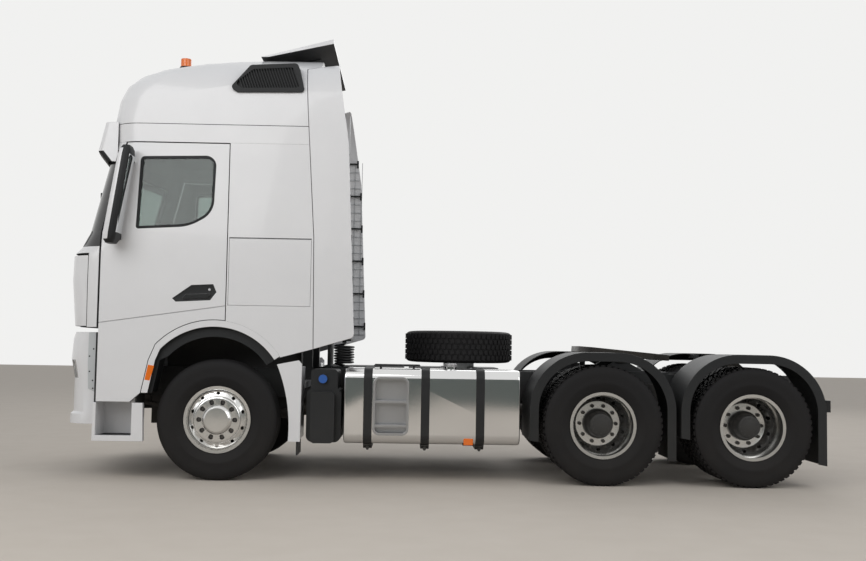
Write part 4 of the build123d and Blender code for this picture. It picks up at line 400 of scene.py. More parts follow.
def spun(profile, steps, closed=True):
    """A bmesh spun about the Y axis from millimetre pairs of radius and outward place."""
    mesh = bmesh.new()
    rim = [mesh.verts.new((radius / 1000, out / 1000, 0)) for radius, out in profile]
    edges = [mesh.edges.new(pair) for pair in zip(rim, rim[1:])]
    if closed:
        edges.append(mesh.edges.new((rim[-1], rim[0])))
    bmesh.ops.spin(mesh, geom=rim + edges, cent=(0, 0, 0), axis=(0, 1, 0), angle=2 * math.pi, steps=steps,
                   use_merge=True)
    bmesh.ops.remove_doubles(mesh, verts=mesh.verts, dist=MERGE_GAP)
    bmesh.ops.recalc_face_normals(mesh, faces=mesh.faces)
    return mesh


def ring_of(mesh, count):
    """Repeat all that a bmesh holds evenly round the Y axis."""
    geometry = mesh.verts[:] + mesh.edges[:] + mesh.faces[:]
    bmesh.ops.spin(mesh, geom=geometry, cent=(0, 0, 0), axis=(0, 1, 0),
                   angle=2 * math.pi * (count - 1) / count, steps=count - 1, use_duplicate=True)


def moved(mesh, spot, turn=0.0, axis="Z"):
    """Turn a whole bmesh about an axis through the origin and then move it to its spot."""
    if turn:
        bmesh.ops.rotate(mesh, verts=mesh.verts, cent=(0, 0, 0), matrix=Matrix.Rotation(turn, 3, axis))
    bmesh.ops.translate(mesh, verts=mesh.verts, vec=spot)
    return mesh


def joined(parts):
    """One bmesh that holds several, which are freed."""
    whole = bmesh.new()
    for part in parts:
        data = bpy.data.meshes.new("join")
        part.to_mesh(data)
        part.free()
        whole.from_mesh(data)
        bpy.data.meshes.remove(data)
    return whole


def round_curve(name, points, radius, rounding, steps):
    """A smooth curve of round section, drawn by its control points."""
    curve = bpy.data.curves.new(name, "CURVE")
    curve.dimensions = "3D"
    curve.bevel_depth = radius
    curve.bevel_resolution = rounding
    curve.use_fill_caps = True
    spline = curve.splines.new("NURBS")
    spline.points.add(len(points) - 1)
    for point, target in zip(spline.points, points):
        point.co = (*target, 1.0)
    spline.order_u = 3
    spline.use_endpoint_u = True
    spline.resolution_u = steps
    return curve


def tube(points, radius):
    """A round tube along a smooth line as a bmesh."""
    curve = round_curve("tube", points, radius, 2, 6)
    holder = bpy.data.objects.new("tube", curve)
    data = bpy.data.meshes.new_from_object(holder)
    mesh = bmesh.new()
    mesh.from_mesh(data)
    bpy.data.objects.remove(holder)
    bpy.data.curves.remove(curve)
    bpy.data.meshes.remove(data)
    return mesh


# %% [markdown]
# ## Air hoses
# Two coiled air lines hang on a stand behind the cab and wait for a trailer. A Screw modifier could wind
# them, but each is one curve whose points a loop lays on a helix, from the stand's upper shelf down to its
# lower one, so that the real length lies in the turns and can be measured.

# %% Air hoses
HOSE_TURNS = 7
TURN_STEPS = 12
HOSE_RADIUS = 0.088
HOSE_TOP = 1.238
HOSE_LOW = 1.016
HOSE_DIAMETER = 0.018
HOSE_BACK = 1.055
HOSE_PLACES = (("air_hose_1", 0.020), ("air_hose_2", 0.250))
hose_x = FRONT_AXLE - HOSE_BACK
for hose_name, hose_y in HOSE_PLACES:
    hose_points = [Vector((hose_x, hose_y, HOSE_TOP)), Vector((hose_x, hose_y, HOSE_TOP - 0.012))]
    for step in range(HOSE_TURNS * TURN_STEPS + 1):
        turn = 2 * math.pi * step / TURN_STEPS
        fall = step / (HOSE_TURNS * TURN_STEPS)
        wide = HOSE_RADIUS * (1.0 + 0.04 * math.sin(2.3 * turn))
        hose_points.append(Vector((hose_x + wide * math.cos(turn), hose_y + wide * math.sin(turn),
                                   HOSE_TOP - 0.024 - (HOSE_TOP - HOSE_LOW - 0.045) * fall)))
    hose_points.append(Vector((hose_x, hose_y, HOSE_LOW)))
    hose_curve = round_curve(hose_name + "_coil", hose_points, HOSE_DIAMETER / 2, 3, 4)
    hose = bpy.data.objects.new(hose_name + "_coil", hose_curve)
    hose_curve.materials.append(hose_rubber)
    scene.collection.objects.link(hose)
    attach(hose, "chassis")
    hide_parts(hose_name)

# %% [markdown]
# ## Panels and castings straight from the frame
# Most CAD nodes already have the right shape, and modelling them again could only put their sizes wrong.
# A merged copy of each gets smooth shading and a small bevel, because real pressed and moulded edges are
# never razor sharp and catch a line of light.

# %% Dressed copies of the CAD nodes


def merged_copy(node, flat):
    """A bmesh of a CAD node whose triangles are joined where they bend by less than an angle."""
    mesh = bmesh.new()
    mesh.from_mesh(frame["nodes"][node].data)
    bmesh.ops.remove_doubles(mesh, verts=mesh.verts, dist=MERGE_GAP)
    bmesh.ops.dissolve_limit(mesh, angle_limit=math.radians(flat), verts=mesh.verts, edges=mesh.edges)
    return mesh


def dress(node, material, bevel, paints=(), cuts=()):
    """A merged copy of a CAD node with soft edges, whose regions may take other finishes."""
    mesh = merged_copy(node, 0.6)
    for spot, normal in cuts:
        whole = mesh.verts[:] + mesh.edges[:] + mesh.faces[:]
        bmesh.ops.bisect_plane(mesh, geom=whole, plane_co=spot, plane_no=normal, dist=0.00002)
    for number, (paint, belongs) in enumerate(paints, start=1):
        for face in mesh.faces:
            if belongs(face.calc_center_median(), face.normal):
                face.material_index = number
    slot_name = next(part["material_slot"] for part in frame["record"]["subparts"] if part["node"] == node)
    piece = place(node + "_dressed", mesh, frame["nodes"][node]["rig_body"], material, slot_name, 28.0, bevel,
                  materials=[paint for paint, belongs in paints])
    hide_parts(node)
    return piece


DRESS_TABLE = (
    ("chassis_frame", frame_paint, 0.002), ("front_axle", cast_metal, 0.006),
    ("leaf_springs", cast_metal, 0.003), ("drive_axles", cast_metal, 0.008), ("engine", cast_metal, 0.02),
    ("driveline", cast_metal, 0.004), ("radiator", radiator_core, 0.004),
    ("tank_straps", black_plastic, 0.002), ("side_boxes", black_plastic, 0.008),
    ("spare_carrier", bright_steel, 0.004), ("mudguards_left", black_plastic, 0.003),
    ("mudguards_right", black_plastic, 0.003),
    ("fifth_wheel_base", frame_paint, 0.004), ("cab_floor", frame_paint, 0.004),
    ("wiper_cowl", black_plastic, 0.003), ("side_fairings", white_paint, 0.004),
    ("air_louvres", black_plastic, 0.002), ("dashboard", trim_plastic, 0.008),
    ("door_glass_left", tinted_glass, 0.001), ("door_glass_right", tinted_glass, 0.001),
    ("locker_left", white_paint, 0.002), ("locker_right", white_paint, 0.002),
    ("knuckle_left", cast_metal, 0.004), ("knuckle_right", cast_metal, 0.004),
    ("tie_rod", cast_metal, 0.002), ("fifth_wheel_plate", greased_metal, 0.008),
)
for node_name, node_finish, edge_width in DRESS_TABLE:
    dress(node_name, node_finish, edge_width)
print("dressed", len(DRESS_TABLE))

# %% [markdown]
# ## Panels with more than one finish
# A cab panel is one solid, but its outer skin is paint, its inner side is trim and its joints are dark.
# Each test below tells from a face's middle and its direction which finish it takes, and planes cut a face
# first where a finish ends across it.

# %% Tests for the regions
PILLAR_LOW = 2.066
PILLAR_HIGH = 2.95


def outward(middle, normal):
    """How far a face looks away from the vehicle's middle line."""
    return normal.y if middle.y > 0 else -normal.y


def inner_side(middle, normal):
    """Faces that look into the cab, and the edges in its panel gaps."""
    return outward(middle, normal) < 0.3


def behind_front(middle, normal):
    """Faces of the cab's front that look back, and its edges."""
    return normal.x < 0.15 and outward(middle, normal) < 0.3


def pillar(middle, normal):
    """The black posts beside the windscreen and the corner under them."""
    return PILLAR_LOW < middle.z < PILLAR_HIGH


def flap_room(middle, normal):
    """The recess that the front flap closes."""
    return middle.z < 2.006 and abs(middle.y) < 1.205 and normal.x > 0.15


def level(height):
    """A level cutting plane."""
    return (0, 0, height), (0, 0, 1)


def upright(left):
    """A cutting plane along the vehicle."""
    return (0, left, 0), (0, 1, 0)


print("the outer skin counts as trim:", inner_side(Vector((0, 1.2, 2)), Vector((0, 1, 0))))

# %% [markdown]
# The painted shells come first: doors, cab front, sides, back and roof. Where the roof's fibreglass cap sits
# on the steel body, a thin band is painted dark as the shadow under the cap's ledge.

# %% Cab shell
ROOF_SEAM = 3.184
SEAM_HALF = 0.003


def roof_inside(middle, normal):
    """The roof's faces that look in on the head room."""
    toward_roof = Vector((middle.x - FRONT_AXLE, middle.y, 1.2))
    return normal.dot(toward_roof) < 0 and abs(middle.y) < 1.21 and middle.z < 3.87


def painted_seam_shadow(middle, normal):
    """The thin band under the fibreglass cap, painted dark as the shadow under its ledge."""
    return abs(middle.z - ROOF_SEAM) < SEAM_HALF


for side_name, side in SIDES:
    dress("door_" + side_name, white_paint, 0.0015, ((trim_plastic, inner_side),))
dress("cab_front", white_paint, 0.002,
      ((gloss_plastic, pillar), (black_plastic, flap_room), (trim_plastic, behind_front)),
      (level(PILLAR_LOW), level(PILLAR_HIGH)))
dress("cab_sides", white_paint, 0.002, ((trim_plastic, inner_side),))
dress("cab_back", white_paint, 0.006, ((trim_plastic, lambda middle, normal: normal.x > 0.5),))
# The band at the roof's seam takes the near-black frame paint as a painted shadow.
roof = dress("cab_roof", white_paint, 0.004, ((trim_plastic, roof_inside), (frame_paint, painted_seam_shadow)),
             (level(ROOF_SEAM - SEAM_HALF), level(ROOF_SEAM + SEAM_HALF)))
print("roof faces", len(roof.data.polygons))

# %% [markdown]
# Next come the panels whose back or lower part is black: flap, bumper, visor, deflector, wheel arches,
# windscreen with its black border, additive tank with its blue cap, lamps and beacons.

# %% Mixed panels
UREA_CAP = at(-935, 1220, 915)
TANK_STEPS = at(-1546, 0, 0)
PANE_LOW = 2.262
PANE_HIGH = 2.862
PANE_HALF = 0.985
FENDER_PAINT = 0.355
REAR_LAMP_SPLIT = 0.90


def visor_dark(middle, normal):
    """The visor's lower edge and its back."""
    return middle.z < 2.943 or (normal.x < 0.2 and outward(middle, normal) < 0.5)


def arch_dark(middle, normal):
    """The inside of a wheel arch."""
    return outward(middle, normal) < 0.5 or abs(middle.y) < 1.2


def deflector_struts_and_underside_shade(middle, normal):
    """The deflector's two black seams, and its underside, which is painted black as shade."""
    return normal.z < -0.2 or abs(abs(middle.y) - 0.48) < 0.016


def glass_border(middle, normal):
    """The black border round the windscreen's clear pane."""
    return abs(middle.y) > PANE_HALF or not PANE_LOW < middle.z < PANE_HIGH


def urea_cap(middle, normal):
    """The round cap on the additive tank's outer face."""
    near = (Vector((middle.x, UREA_CAP.y, middle.z)) - UREA_CAP).length < 0.05
    return middle.y > 1.161 and near


def behind_steps(middle, normal):
    """The part of the fuel tank that the steps stand in front of."""
    return 1.10 < middle.y < 1.2 and abs(middle.x - TANK_STEPS.x) < 0.165 and middle.z < 0.95


dress("front_flap", white_paint, 0.0025, ((black_plastic, behind_front),))
dress("bumper", white_paint, 0.004,
      ((black_plastic, lambda middle, normal: normal.x < 0.3 and outward(middle, normal) < 0.5),))
dress("sun_visor", white_paint, 0.003, ((black_plastic, visor_dark),))
# The deflector's seams are black, and its underside is painted black as the shade under it.
dress("roof_deflector", white_paint, 0.004, ((black_plastic, deflector_struts_and_underside_shade),))
dress("wheel_arches", white_paint, 0.002, ((black_plastic, arch_dark),))
dress("windscreen", tinted_glass, 0.001, ((gloss_plastic, glass_border),),
      (level(PANE_LOW), level(PANE_HIGH), upright(PANE_HALF), upright(-PANE_HALF)))
dress("urea_tank", black_plastic, 0.010, ((blue_cap, urea_cap),))
dress("beacons", amber_lens, 0.004, ((black_plastic, lambda middle, normal: middle.z < 3.851),))
dress("fuel_tank", tank_metal, 0.006, ((bright_steel, behind_steps),))
dress("tank_steps", bright_steel, 0.006, ((black_plastic, lambda middle, normal: middle.z > 1.0),))
dress("entry_steps", white_paint, 0.004,
      ((frame_paint, lambda middle, normal: abs(middle.y) < 0.9 or middle.z > 0.80),))
dress("front_fenders", white_paint, 0.003,
      ((black_plastic, lambda middle, normal: middle.z < FENDER_PAINT),), (level(FENDER_PAINT),))
lamps = dress("lamps", clear_lens, 0.004,
              ((red_lens, lambda middle, normal: middle.x < 0 and abs(middle.y) > REAR_LAMP_SPLIT),
               (amber_lens, lambda middle, normal: middle.x < 0 and abs(middle.y) <= REAR_LAMP_SPLIT),
               (black_plastic, lambda middle, normal: middle.x < 0 and normal.x > -0.5)),
              (upright(REAR_LAMP_SPLIT), upright(-REAR_LAMP_SPLIT)))

# %% [markdown]
# ## Tyres
# A steered tyre has plain ribs with grooves running round, and a driven one has rows of blocks that bite.
# The blocks could come from a bump texture, but they show against the light at the tyre's edge. So the
# carcass is a spun profile, and one slice of real blocks is repeated round the axle.

# %% Tyre shapes
CARCASS = ((286, 112), (298, 121), (330, 143), (372, 152), (384, 156), (396, 153), (440, 156), (478, 153),
           (504, 148), (524, 135))
BLOCK_ROWS = ((-104, 44, 0.0), (-52, 40, 0.5), (0, 40, 0.0), (52, 40, 0.5), (104, 44, 0.0))
BLOCK_COUNT = 60
BLOCK_FOOT = 0.516
BLOCK_TOP = 0.538


def tyre(ribbed):
    """A tyre about the Y axis, outward side at +Y."""
    half = list(CARCASS)
    if ribbed:
        half += [(536, 122), (538, 112), (538, 92), (527, 89), (527, 80), (538, 77), (538, 35), (527, 32),
                 (527, 22), (538, 19)]
    else:
        half += [(526, 124)]
    carcass = spun(half + [(radius, -out) for radius, out in reversed(half)], 96)
    if ribbed:
        return carcass
    blocks = bmesh.new()
    for out, width, share in BLOCK_ROWS:
        made = block(blocks, (-0.0175, (out - width / 2) / 1000, BLOCK_FOOT),
                     (0.0175, (out + width / 2) / 1000, BLOCK_TOP))
        lean = Matrix.Rotation(math.radians(12 if abs(out) == 52 else -6), 3, "Z")
        bmesh.ops.rotate(blocks, verts=made, cent=(0, out / 1000, 0.53), matrix=lean)
        pitch = Matrix.Rotation(share * 2 * math.pi / BLOCK_COUNT, 3, "Y")
        bmesh.ops.rotate(blocks, verts=made, cent=(0, 0, 0), matrix=pitch)
    ring_of(blocks, BLOCK_COUNT)
    return joined([carcass, blocks])


print("blocks on a driven tyre", len(BLOCK_ROWS) * BLOCK_COUNT)

# %% [markdown]
# ## Rims and hubs
# The rims are polished discs with ten round hand holes, and a cover with ten cups hides the steered hub.
# A Boolean could cut them, but it leaves ragged faces that shade badly. So each hole starts as one sector
# of a spun ring, which is inset, rounded, and deleted or sunk. Solidify gives the disc its thickness
# afterwards.

# %% Rim shapes
BARREL = ((298.5, 132), (298.5, 122), (285.5, 121.5), (284, -121.5), (298.5, -122), (298.5, -132),
          (271.5, -131), (262, -100), (262, 100), (271.5, 131))
DISC_THICKNESS = 0.010
COVER_THICKNESS = 0.003
TWIN_SPACING = 0.350


def pierce(mesh, low, high, count, radius, depth=None):
    """Cut a count of round holes, or cups of a depth, into the ring between two radii."""
    def within(spot):
        return low / 1000 < math.hypot(spot.x, spot.z) < high / 1000

    spokes = []
    for edge in mesh.edges:
        middle = (edge.verts[0].co + edge.verts[1].co) / 2
        turn = math.atan2(middle.z, middle.x) / (2 * math.pi) * count
        if within(middle) and abs(turn - round(turn)) > 0.01:
            spokes.append(edge)
    bmesh.ops.dissolve_edges(mesh, edges=spokes, use_verts=False)
    sectors = [face for face in mesh.faces if within(face.calc_center_median()) and len(face.verts) > 6]
    bmesh.ops.inset_individual(mesh, faces=sectors, thickness=0.002)
    for face in sectors:
        centre = face.calc_center_median()
        reach = (low + high) / 2000 / math.hypot(centre.x, centre.z)
        centre.x, centre.z = centre.x * reach, centre.z * reach
        for corner in face.verts:
            corner.co = centre + (corner.co - centre).normalized() * radius
    if depth is None:
        bmesh.ops.delete(mesh, geom=sectors, context="FACES")
        return
    for face in sectors:
        sunk = bmesh.ops.extrude_discrete_faces(mesh, faces=[face])["faces"][0]
        bmesh.ops.translate(mesh, verts=sunk.verts[:], vec=(0, -depth, 0))
        for edge in sunk.edges:
            for wall in edge.link_faces:
                wall.material_index = 1


def holed_disc(rows, thickness, steps, holes):
    """A disc about the Y axis from rows of radius and place, with a ring of holes or cups."""
    mesh = spun(rows, steps, closed=False)
    pierce(mesh, *holes)
    bmesh.ops.solidify(mesh, geom=mesh.faces[:], thickness=-thickness)
    bmesh.ops.recalc_face_normals(mesh, faces=mesh.faces)
    return mesh


def nut_ring(pitch_radius, out, count, size, length):
    """Wheel nuts with their studs, repeated round the hub."""
    mesh = bmesh.new()
    drum(mesh, (pitch_radius, out, 0), (0, 1, 0), size, length, 6)
    drum(mesh, (pitch_radius, out + length * 0.5, 0), (0, 1, 0), size * 0.5, length * 1.2, 10)
    ring_of(mesh, count)
    return mesh


def front_rim():
    """The steered wheel's rim with its hand holes, and the bright cover with ten deep cups."""
    barrel = spun(BARREL, 80)
    disc = holed_disc(((262, 58), (250, 84), (210, 102), (196, 104), (120, 104)), DISC_THICKNESS, 80,
                      (212, 248, 10, 0.0165))
    cover = holed_disc(((208, 106), (208, 124), (203, 132), (198, 135), (189, 136), (130, 136), (124, 143),
                        (112, 153), (104, 158), (24, 160), (0.5, 160)), COVER_THICKNESS, 80,
                       (131, 188, 10, 0.0265, 0.022))
    moved(cover, (0, 0, 0), math.pi / 10, "Y")
    hub = spun(((135, -60), (135, 100), (100, 106), (46, 106), (46, -60)), 48)
    lip = spun(((108, 151), (108, 158), (104, 161), (98, 161), (98, 155)), 64)
    return joined([barrel, disc, cover, hub, lip])


def drive_rims():
    """Both rims of a twin wheel, the deep outer disc with its hand holes, and the steel inside."""
    disc = holed_disc(((262, -92), (256, -102), (214, -146), (208, -157), (203, -161), (152, -161),
                       (134, -161)), DISC_THICKNESS, 80, (216, 254, 10, 0.0185))
    outer = joined([spun(BARREL, 80), disc])
    inner_disc = spun(((262, 100), (246, 122), (214, 160), (200, 174), (120, 174), (120, 162), (208, 162),
                       (236, 116), (256, 92)), 40)
    inner = joined([spun(BARREL, 64), inner_disc])
    return joined([outer, moved(inner, (0, -TWIN_SPACING, 0))])


def drive_hub():
    """The driven hub: brake drum inside, black hub body, its flange bolts and its cap."""
    body = spun(((46, -510), (205, -510), (205, -330), (150, -322), (135, -300), (135, -112), (128, -98),
                 (116, -84), (108, -20), (104, 18), (98, 27), (90, 30), (0.2, 30), (0.2, 10), (46, 4)), 64)
    bolts = bmesh.new()
    drum(bolts, (0.078, 0.030, 0), (0, 1, 0), 0.007, 0.010, 6)
    ring_of(bolts, 12)
    return joined([body, bolts])


def settle(mesh, centre, side):
    """Turn a wheel piece to its side of the vehicle and put it on its axle."""
    return moved(mesh, centre, math.pi if side < 0 else 0.0)


print("barrel points", len(BARREL))

# %% [markdown]
# ## Wheels on their axles
# Each wheel is built about the origin and then turned to its side, so the left and right wheels match and
# their outer faces both look outward. A mirrored copy would do the same, but its tread would lean the
# other way. The spare tyre lies flat on its carrier.

# %% Fit the wheels
FRONT_TRACK = 1.050
DRIVE_TRACK = 1.089
SPARE_PLACE = at(-2200, 0, 1220)
for side_name, side in SIDES:
    centre = (FRONT_AXLE, side * FRONT_TRACK, AXLE_HEIGHT)
    body = "front_wheel_" + side_name
    piece = place("steered_tyre_" + side_name, settle(tyre(True), centre, side), body, tyre_rubber,
                  "tyre_rubber", 40)
    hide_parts("front_tyre_" + side_name)
    piece = place("steered_rim_" + side_name, settle(front_rim(), centre, side), body, polished_metal,
                  "rim_steel", 30, materials=(frame_paint,))
    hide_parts("front_rim_" + side_name)
    nuts = nut_ring(0.1595, 0.120, 10, 0.0165, 0.013)
    place("steered_nuts_" + side_name, settle(nuts, centre, side), body, cast_metal, "cast_metal", 30)
    for number, axle in enumerate(DRIVE_AXLES, start=1):
        body = f"drive_wheel_{number}_{side_name}"
        name_end = f"_{number}_{side_name}"
        centre = (axle, side * DRIVE_TRACK, AXLE_HEIGHT)
        twin = joined([tyre(False), moved(tyre(False), (0, -TWIN_SPACING, 0))])
        piece = place("driven_tyres" + name_end, settle(twin, centre, side), body, tyre_rubber,
                      "tyre_rubber", 40)
        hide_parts(body)
        place("driven_rims" + name_end, settle(drive_rims(), centre, side), body, polished_metal,
              "rim_steel", 30, materials=(frame_paint,))
        place("driven_hub" + name_end, settle(drive_hub(), centre, side), body, frame_paint,
              "chassis_paint", 30)
        nuts = nut_ring(0.168, -0.150, 10, 0.0175, 0.024)
        place("driven_nuts" + name_end, settle(nuts, centre, side), body, cast_metal, "cast_metal", 30)
piece = place("spare_tyre_treaded", moved(tyre(False), SPARE_PLACE, math.pi / 2, "X"), "chassis", tyre_rubber,
              "tyre_rubber", 40)
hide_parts("spare_tyre")

# %% [markdown]
# ## Door fittings
# Each mirror head is black behind a white front cover, and its glass looks back. The pull handle is a bar
# in a dished black recess with a small bright lock. Rubber frames the door's window. Its outline could be
# drawn again, but it is taken from the glass, so that the two always match.

# %% Mirrors, handles and window seals
MIRROR_FOOT = at(940, 0, 2079)
MIRROR_HEAD = at(820, 0, 2944)
MIRROR_AHEAD = Vector((MIRROR_HEAD.z - MIRROR_FOOT.z, 0, MIRROR_FOOT.x - MIRROR_HEAD.x)).normalized()
MIRROR_ROOT = 1.27
SKIN = 1.245
SEAL_WIDTH = 0.024
SEAL_THICKNESS = 0.012


def mirror_cover(middle, normal):
    """The white shell over the front half of a mirror head."""
    ahead = (Vector((middle.x, 0, middle.z)) - MIRROR_FOOT).dot(MIRROR_AHEAD)
    return abs(middle.y) > MIRROR_ROOT and ahead > 0 and 2.11 < middle.z < 2.90


def mirror_pane(middle, normal):
    """The flat face of a mirror head that looks back."""
    return abs(middle.y) > MIRROR_ROOT and normal.x < -0.9 and 2.17 < middle.z < 2.87


def outline(*corners):
    """An outline in side view, from millimetres ahead of the front axle and up."""
    return [at(ahead, 0, up) for ahead, up in corners]


def shrunk(centre, corners, share):
    """Corners of an outline, drawn in toward its middle."""
    return [centre + (corner - centre) * share for corner in corners]


def prism(corners, low, high):
    """An upright plate from an outline in side view, between two distances from the middle line."""
    mesh = bmesh.new()
    ring = [mesh.verts.new((corner.x, low, corner.z)) for corner in corners]
    face = mesh.faces.new(ring)
    grown = bmesh.ops.extrude_face_region(mesh, geom=[face])["geom"]
    far_ring = [item for item in grown if isinstance(item, bmesh.types.BMVert)]
    bmesh.ops.translate(mesh, verts=far_ring, vec=(0, high - low, 0))
    bmesh.ops.recalc_face_normals(mesh, faces=mesh.faces)
    return mesh


HANDLE_MIDDLE = at(215, 0, 1662)
DISH_CORNERS = shrunk(HANDLE_MIDDLE, outline((418, 1612), (385, 1582), (80, 1600), (26, 1672), (56, 1744),
                                             (250, 1733)), 0.985)
BAR_CORNERS = outline((330, 1618), (318, 1606), (96, 1618), (74, 1644), (84, 1664), (300, 1650))


def window_seal(side_name, side):
    """A rubber frame round the door glass, taken from the glass's own outline."""
    mesh = merged_copy("door_glass_" + side_name, 1.0)
    pane = max(mesh.faces, key=lambda face: face.calc_area() * (face.normal.y * side > 0.9))
    others = [face for face in mesh.faces if face is not pane]
    bmesh.ops.delete(mesh, geom=others, context="FACES")
    bmesh.ops.inset_region(mesh, faces=[pane], thickness=SEAL_WIDTH, use_even_offset=True, use_boundary=True)
    bmesh.ops.delete(mesh, geom=[pane], context="FACES")
    shift = side * (SKIN - 0.0025) - mesh.faces[:][0].calc_center_median().y
    moved(mesh, (0, shift, 0))
    bmesh.ops.solidify(mesh, geom=mesh.faces[:], thickness=SEAL_THICKNESS)
    bmesh.ops.recalc_face_normals(mesh, faces=mesh.faces)
    return mesh


for side_name, side in SIDES:
    body = "door_" + side_name
    dress("door_fittings_" + side_name, black_plastic, 0.004,
          ((white_paint, mirror_cover), (mirror_glass, mirror_pane)), ((MIRROR_FOOT, MIRROR_AHEAD),))
    place("window_seal_" + side_name, window_seal(side_name, side), body, black_plastic, "black_plastic", 30,
          0.001)
    dish = prism(DISH_CORNERS, side * 1.2405, side * 1.2455)
    outer_face = max(dish.faces, key=lambda face: face.normal.y * side)
    bmesh.ops.inset_region(dish, faces=[outer_face], thickness=0.016, depth=-0.003)
    place("handle_dish_" + side_name, dish, body, black_plastic, "black_plastic", 20, 0.0015)
    place("pull_bar_" + side_name, prism(BAR_CORNERS, side * 1.241, side * 1.252), body, gloss_plastic,
          "gloss_black", 20, 0.003, 3)
    lock = bmesh.new()
    drum(lock, at(88, side * 1243, 1694), (0, side, 0), 0.011, 0.010, 24)
    drum(lock, at(88, side * 1248, 1694), (0, side, 0), 0.004, 0.004, 12)
    place("door_lock_" + side_name, lock, body, bright_steel, "rim_steel", 30, 0.001)

# %% [markdown]
# ## Windscreen wipers and the front grille
# Two arms lie across the windscreen from the cowl. Fins stand in the slots of the flap and the bumper, in
# front of a dark backing, and the headlamps hold two round reflectors each. All of them sit on a bowed
# front, so one formula for its curve places them, where hand-set places would drift off it.

# %% Wipers, grille and headlamps
SCREEN_LOW = (1.330, 2.203)
SCREEN_TOP = (1.130, 3.018)
NOSE_AHEAD = 1.475
BOW_RADIUS = 5.0


def bow(left):
    """How far the bowed front falls back at a distance from the middle."""
    return BOW_RADIUS - math.sqrt(BOW_RADIUS ** 2 - left ** 2)


def on_screen(left, up, proud):
    """A place on the bowed windscreen, some way proud of the glass."""
    share = (up - SCREEN_LOW[1]) / (SCREEN_TOP[1] - SCREEN_LOW[1])
    ahead = SCREEN_LOW[0] + (SCREEN_TOP[0] - SCREEN_LOW[0]) * share - bow(left)
    return Vector((FRONT_AXLE + ahead + proud, left, up))


for number, (foot, tip) in enumerate(((-0.62, -0.02), (0.30, 0.90)), start=1):
    halfway = (foot + tip) / 2
    arm = tube([on_screen(foot, 2.19, 0.012), on_screen(foot + 0.10, 2.26, 0.045),
                on_screen(halfway, 2.42, 0.040), on_screen(halfway + 0.04, 2.45, 0.028)], 0.008)
    blade = tube([on_screen(foot + 0.14, 2.30, 0.016), on_screen(halfway + 0.04, 2.43, 0.016),
                  on_screen(tip + 0.04, 2.58, 0.016)], 0.009)
    hub = bmesh.new()
    drum(hub, on_screen(foot, 2.185, 0.010), (1, 0, 0.2), 0.022, 0.05, 24)
    place(f"wiper_{number}", joined([arm, blade, hub]), "cab", black_plastic, "black_plastic", 40)


def nose_at(left, setback):
    """How far ahead a piece stands that is set back from the bowed nose, at a distance from the middle."""
    return FRONT_AXLE + (NOSE_AHEAD - setback - bow(left))


def fins(levels, half, height, setback, count):
    """Upright fins in a row of slots, each set on the bowed nose, with two bars that join them."""
    mesh = bmesh.new()
    bar = nose_at(half * 0.6, setback)
    for up in levels:
        for step in range(count):
            left = half * (2 * (step + 0.5) / count - 1)
            ahead = nose_at(left, setback)
            block(mesh, (ahead - 0.030, left - 0.003, up - height / 2),
                  (ahead - 0.006, left + 0.003, up + height / 2))
        for share in (-0.18, 0.18):
            block(mesh, (bar - 0.024, -half, up + share * height - 0.002),
                  (bar - 0.016, half, up + share * height + 0.002))
    return mesh


place("flap_fins", fins([1.440 + 0.110 * row for row in range(4)], 0.75, 0.060, 0.012, 42), "front_flap",
      black_plastic, "black_plastic", 30)
place("bumper_fins", fins([0.700 + 0.110 * row for row in range(5)], 0.54, 0.080, 0.040, 30), "chassis",
      black_plastic, "black_plastic", 30)
bowls = []
for side in (1, -1):
    for left in (0.74, 0.90):
        bowl = spun(((64, 0), (60, -4), (44, -26), (20, -38), (0.5, -40)), 40, closed=False)
        bowls.append(moved(bowl, (nose_at(left, 0.048), side * left, 0.970), -math.pi / 2))
reflectors = joined(bowls)
bmesh.ops.solidify(reflectors, geom=reflectors.faces[:], thickness=0.002)
place("headlamp_bowls", reflectors, "chassis", mirror_glass, "lamp_lens", 40)
# A black plate in the middle of the nose is painted shade: it stands for the shaded inside, so no background
# shows through.
nose_shade_screen = box(at(1100, -10, 1150), at(1370, 10, 1335))
place("nose_shade_screen", nose_shade_screen, "chassis", black_plastic, "black_plastic", 30)
bases = bmesh.new()
for side in (1, -1):
    drum(bases, at(500, side * 600, 3858), (0, 0, 1), 0.068, 0.030, 40, 0.056)
place("beacon_bases", bases, "cab", black_plastic, "black_plastic", 30, 0.002)

# %% [markdown]
# ## Lamps, trim strips and markers
# Amber lamps stand on the wheel arch's leg and under the tank, and a strip with small screws covers
# the joint behind the bumper. The strip is body colour, and its grey is painted shade, as it sits in from
# the door's skirt. Lamps and strip are thin plates with an outline, so an extruded face makes each one,
# and a bevel rounds it.

# %% Side lamps and strips
ARCH_LAMP = outline((557, 1012), (612, 1020), (640, 885), (592, 878))
STRIP = outline((1094, 1296), (1158, 1296), (1160, 1030), (1150, 800), (1094, 770))
for side_name, side in SIDES:
    lens = prism(ARCH_LAMP, side * 1.238, side * 1.2455)
    place("arch_lamp_" + side_name, lens, "cab", amber_lens, "beacon_amber", 30, 0.002)
    # The strip's grey is painted shade on a body-coloured part set back from the door's skirt.
    strip = prism(STRIP, side * 1.1805, side * 1.1855)
    place("bumper_strip_" + side_name, strip, "chassis", grey_and_shade_paint, "body_paint", 30, 0.0015)
    screws = bmesh.new()
    for ahead, up in ((1112, 1150), (1146, 1085), (1142, 950), (1112, 870), (1108, 800)):
        drum(screws, at(ahead, side * 1186, up), (0, side, 0), 0.007, 0.004, 16)
    place("strip_screws_" + side_name, screws, "chassis", frame_paint, "chassis_paint", 30, 0.0008)
tank_lamp = box(at(-2286, 1178, 345), at(-2200, 1218, 408))
place("tank_lamp", tank_lamp, "chassis", amber_lens, "beacon_amber", 30, 0.008, 3)
lamp_holder = box(at(-2293, 1160, 339), at(-2193, 1180, 412))
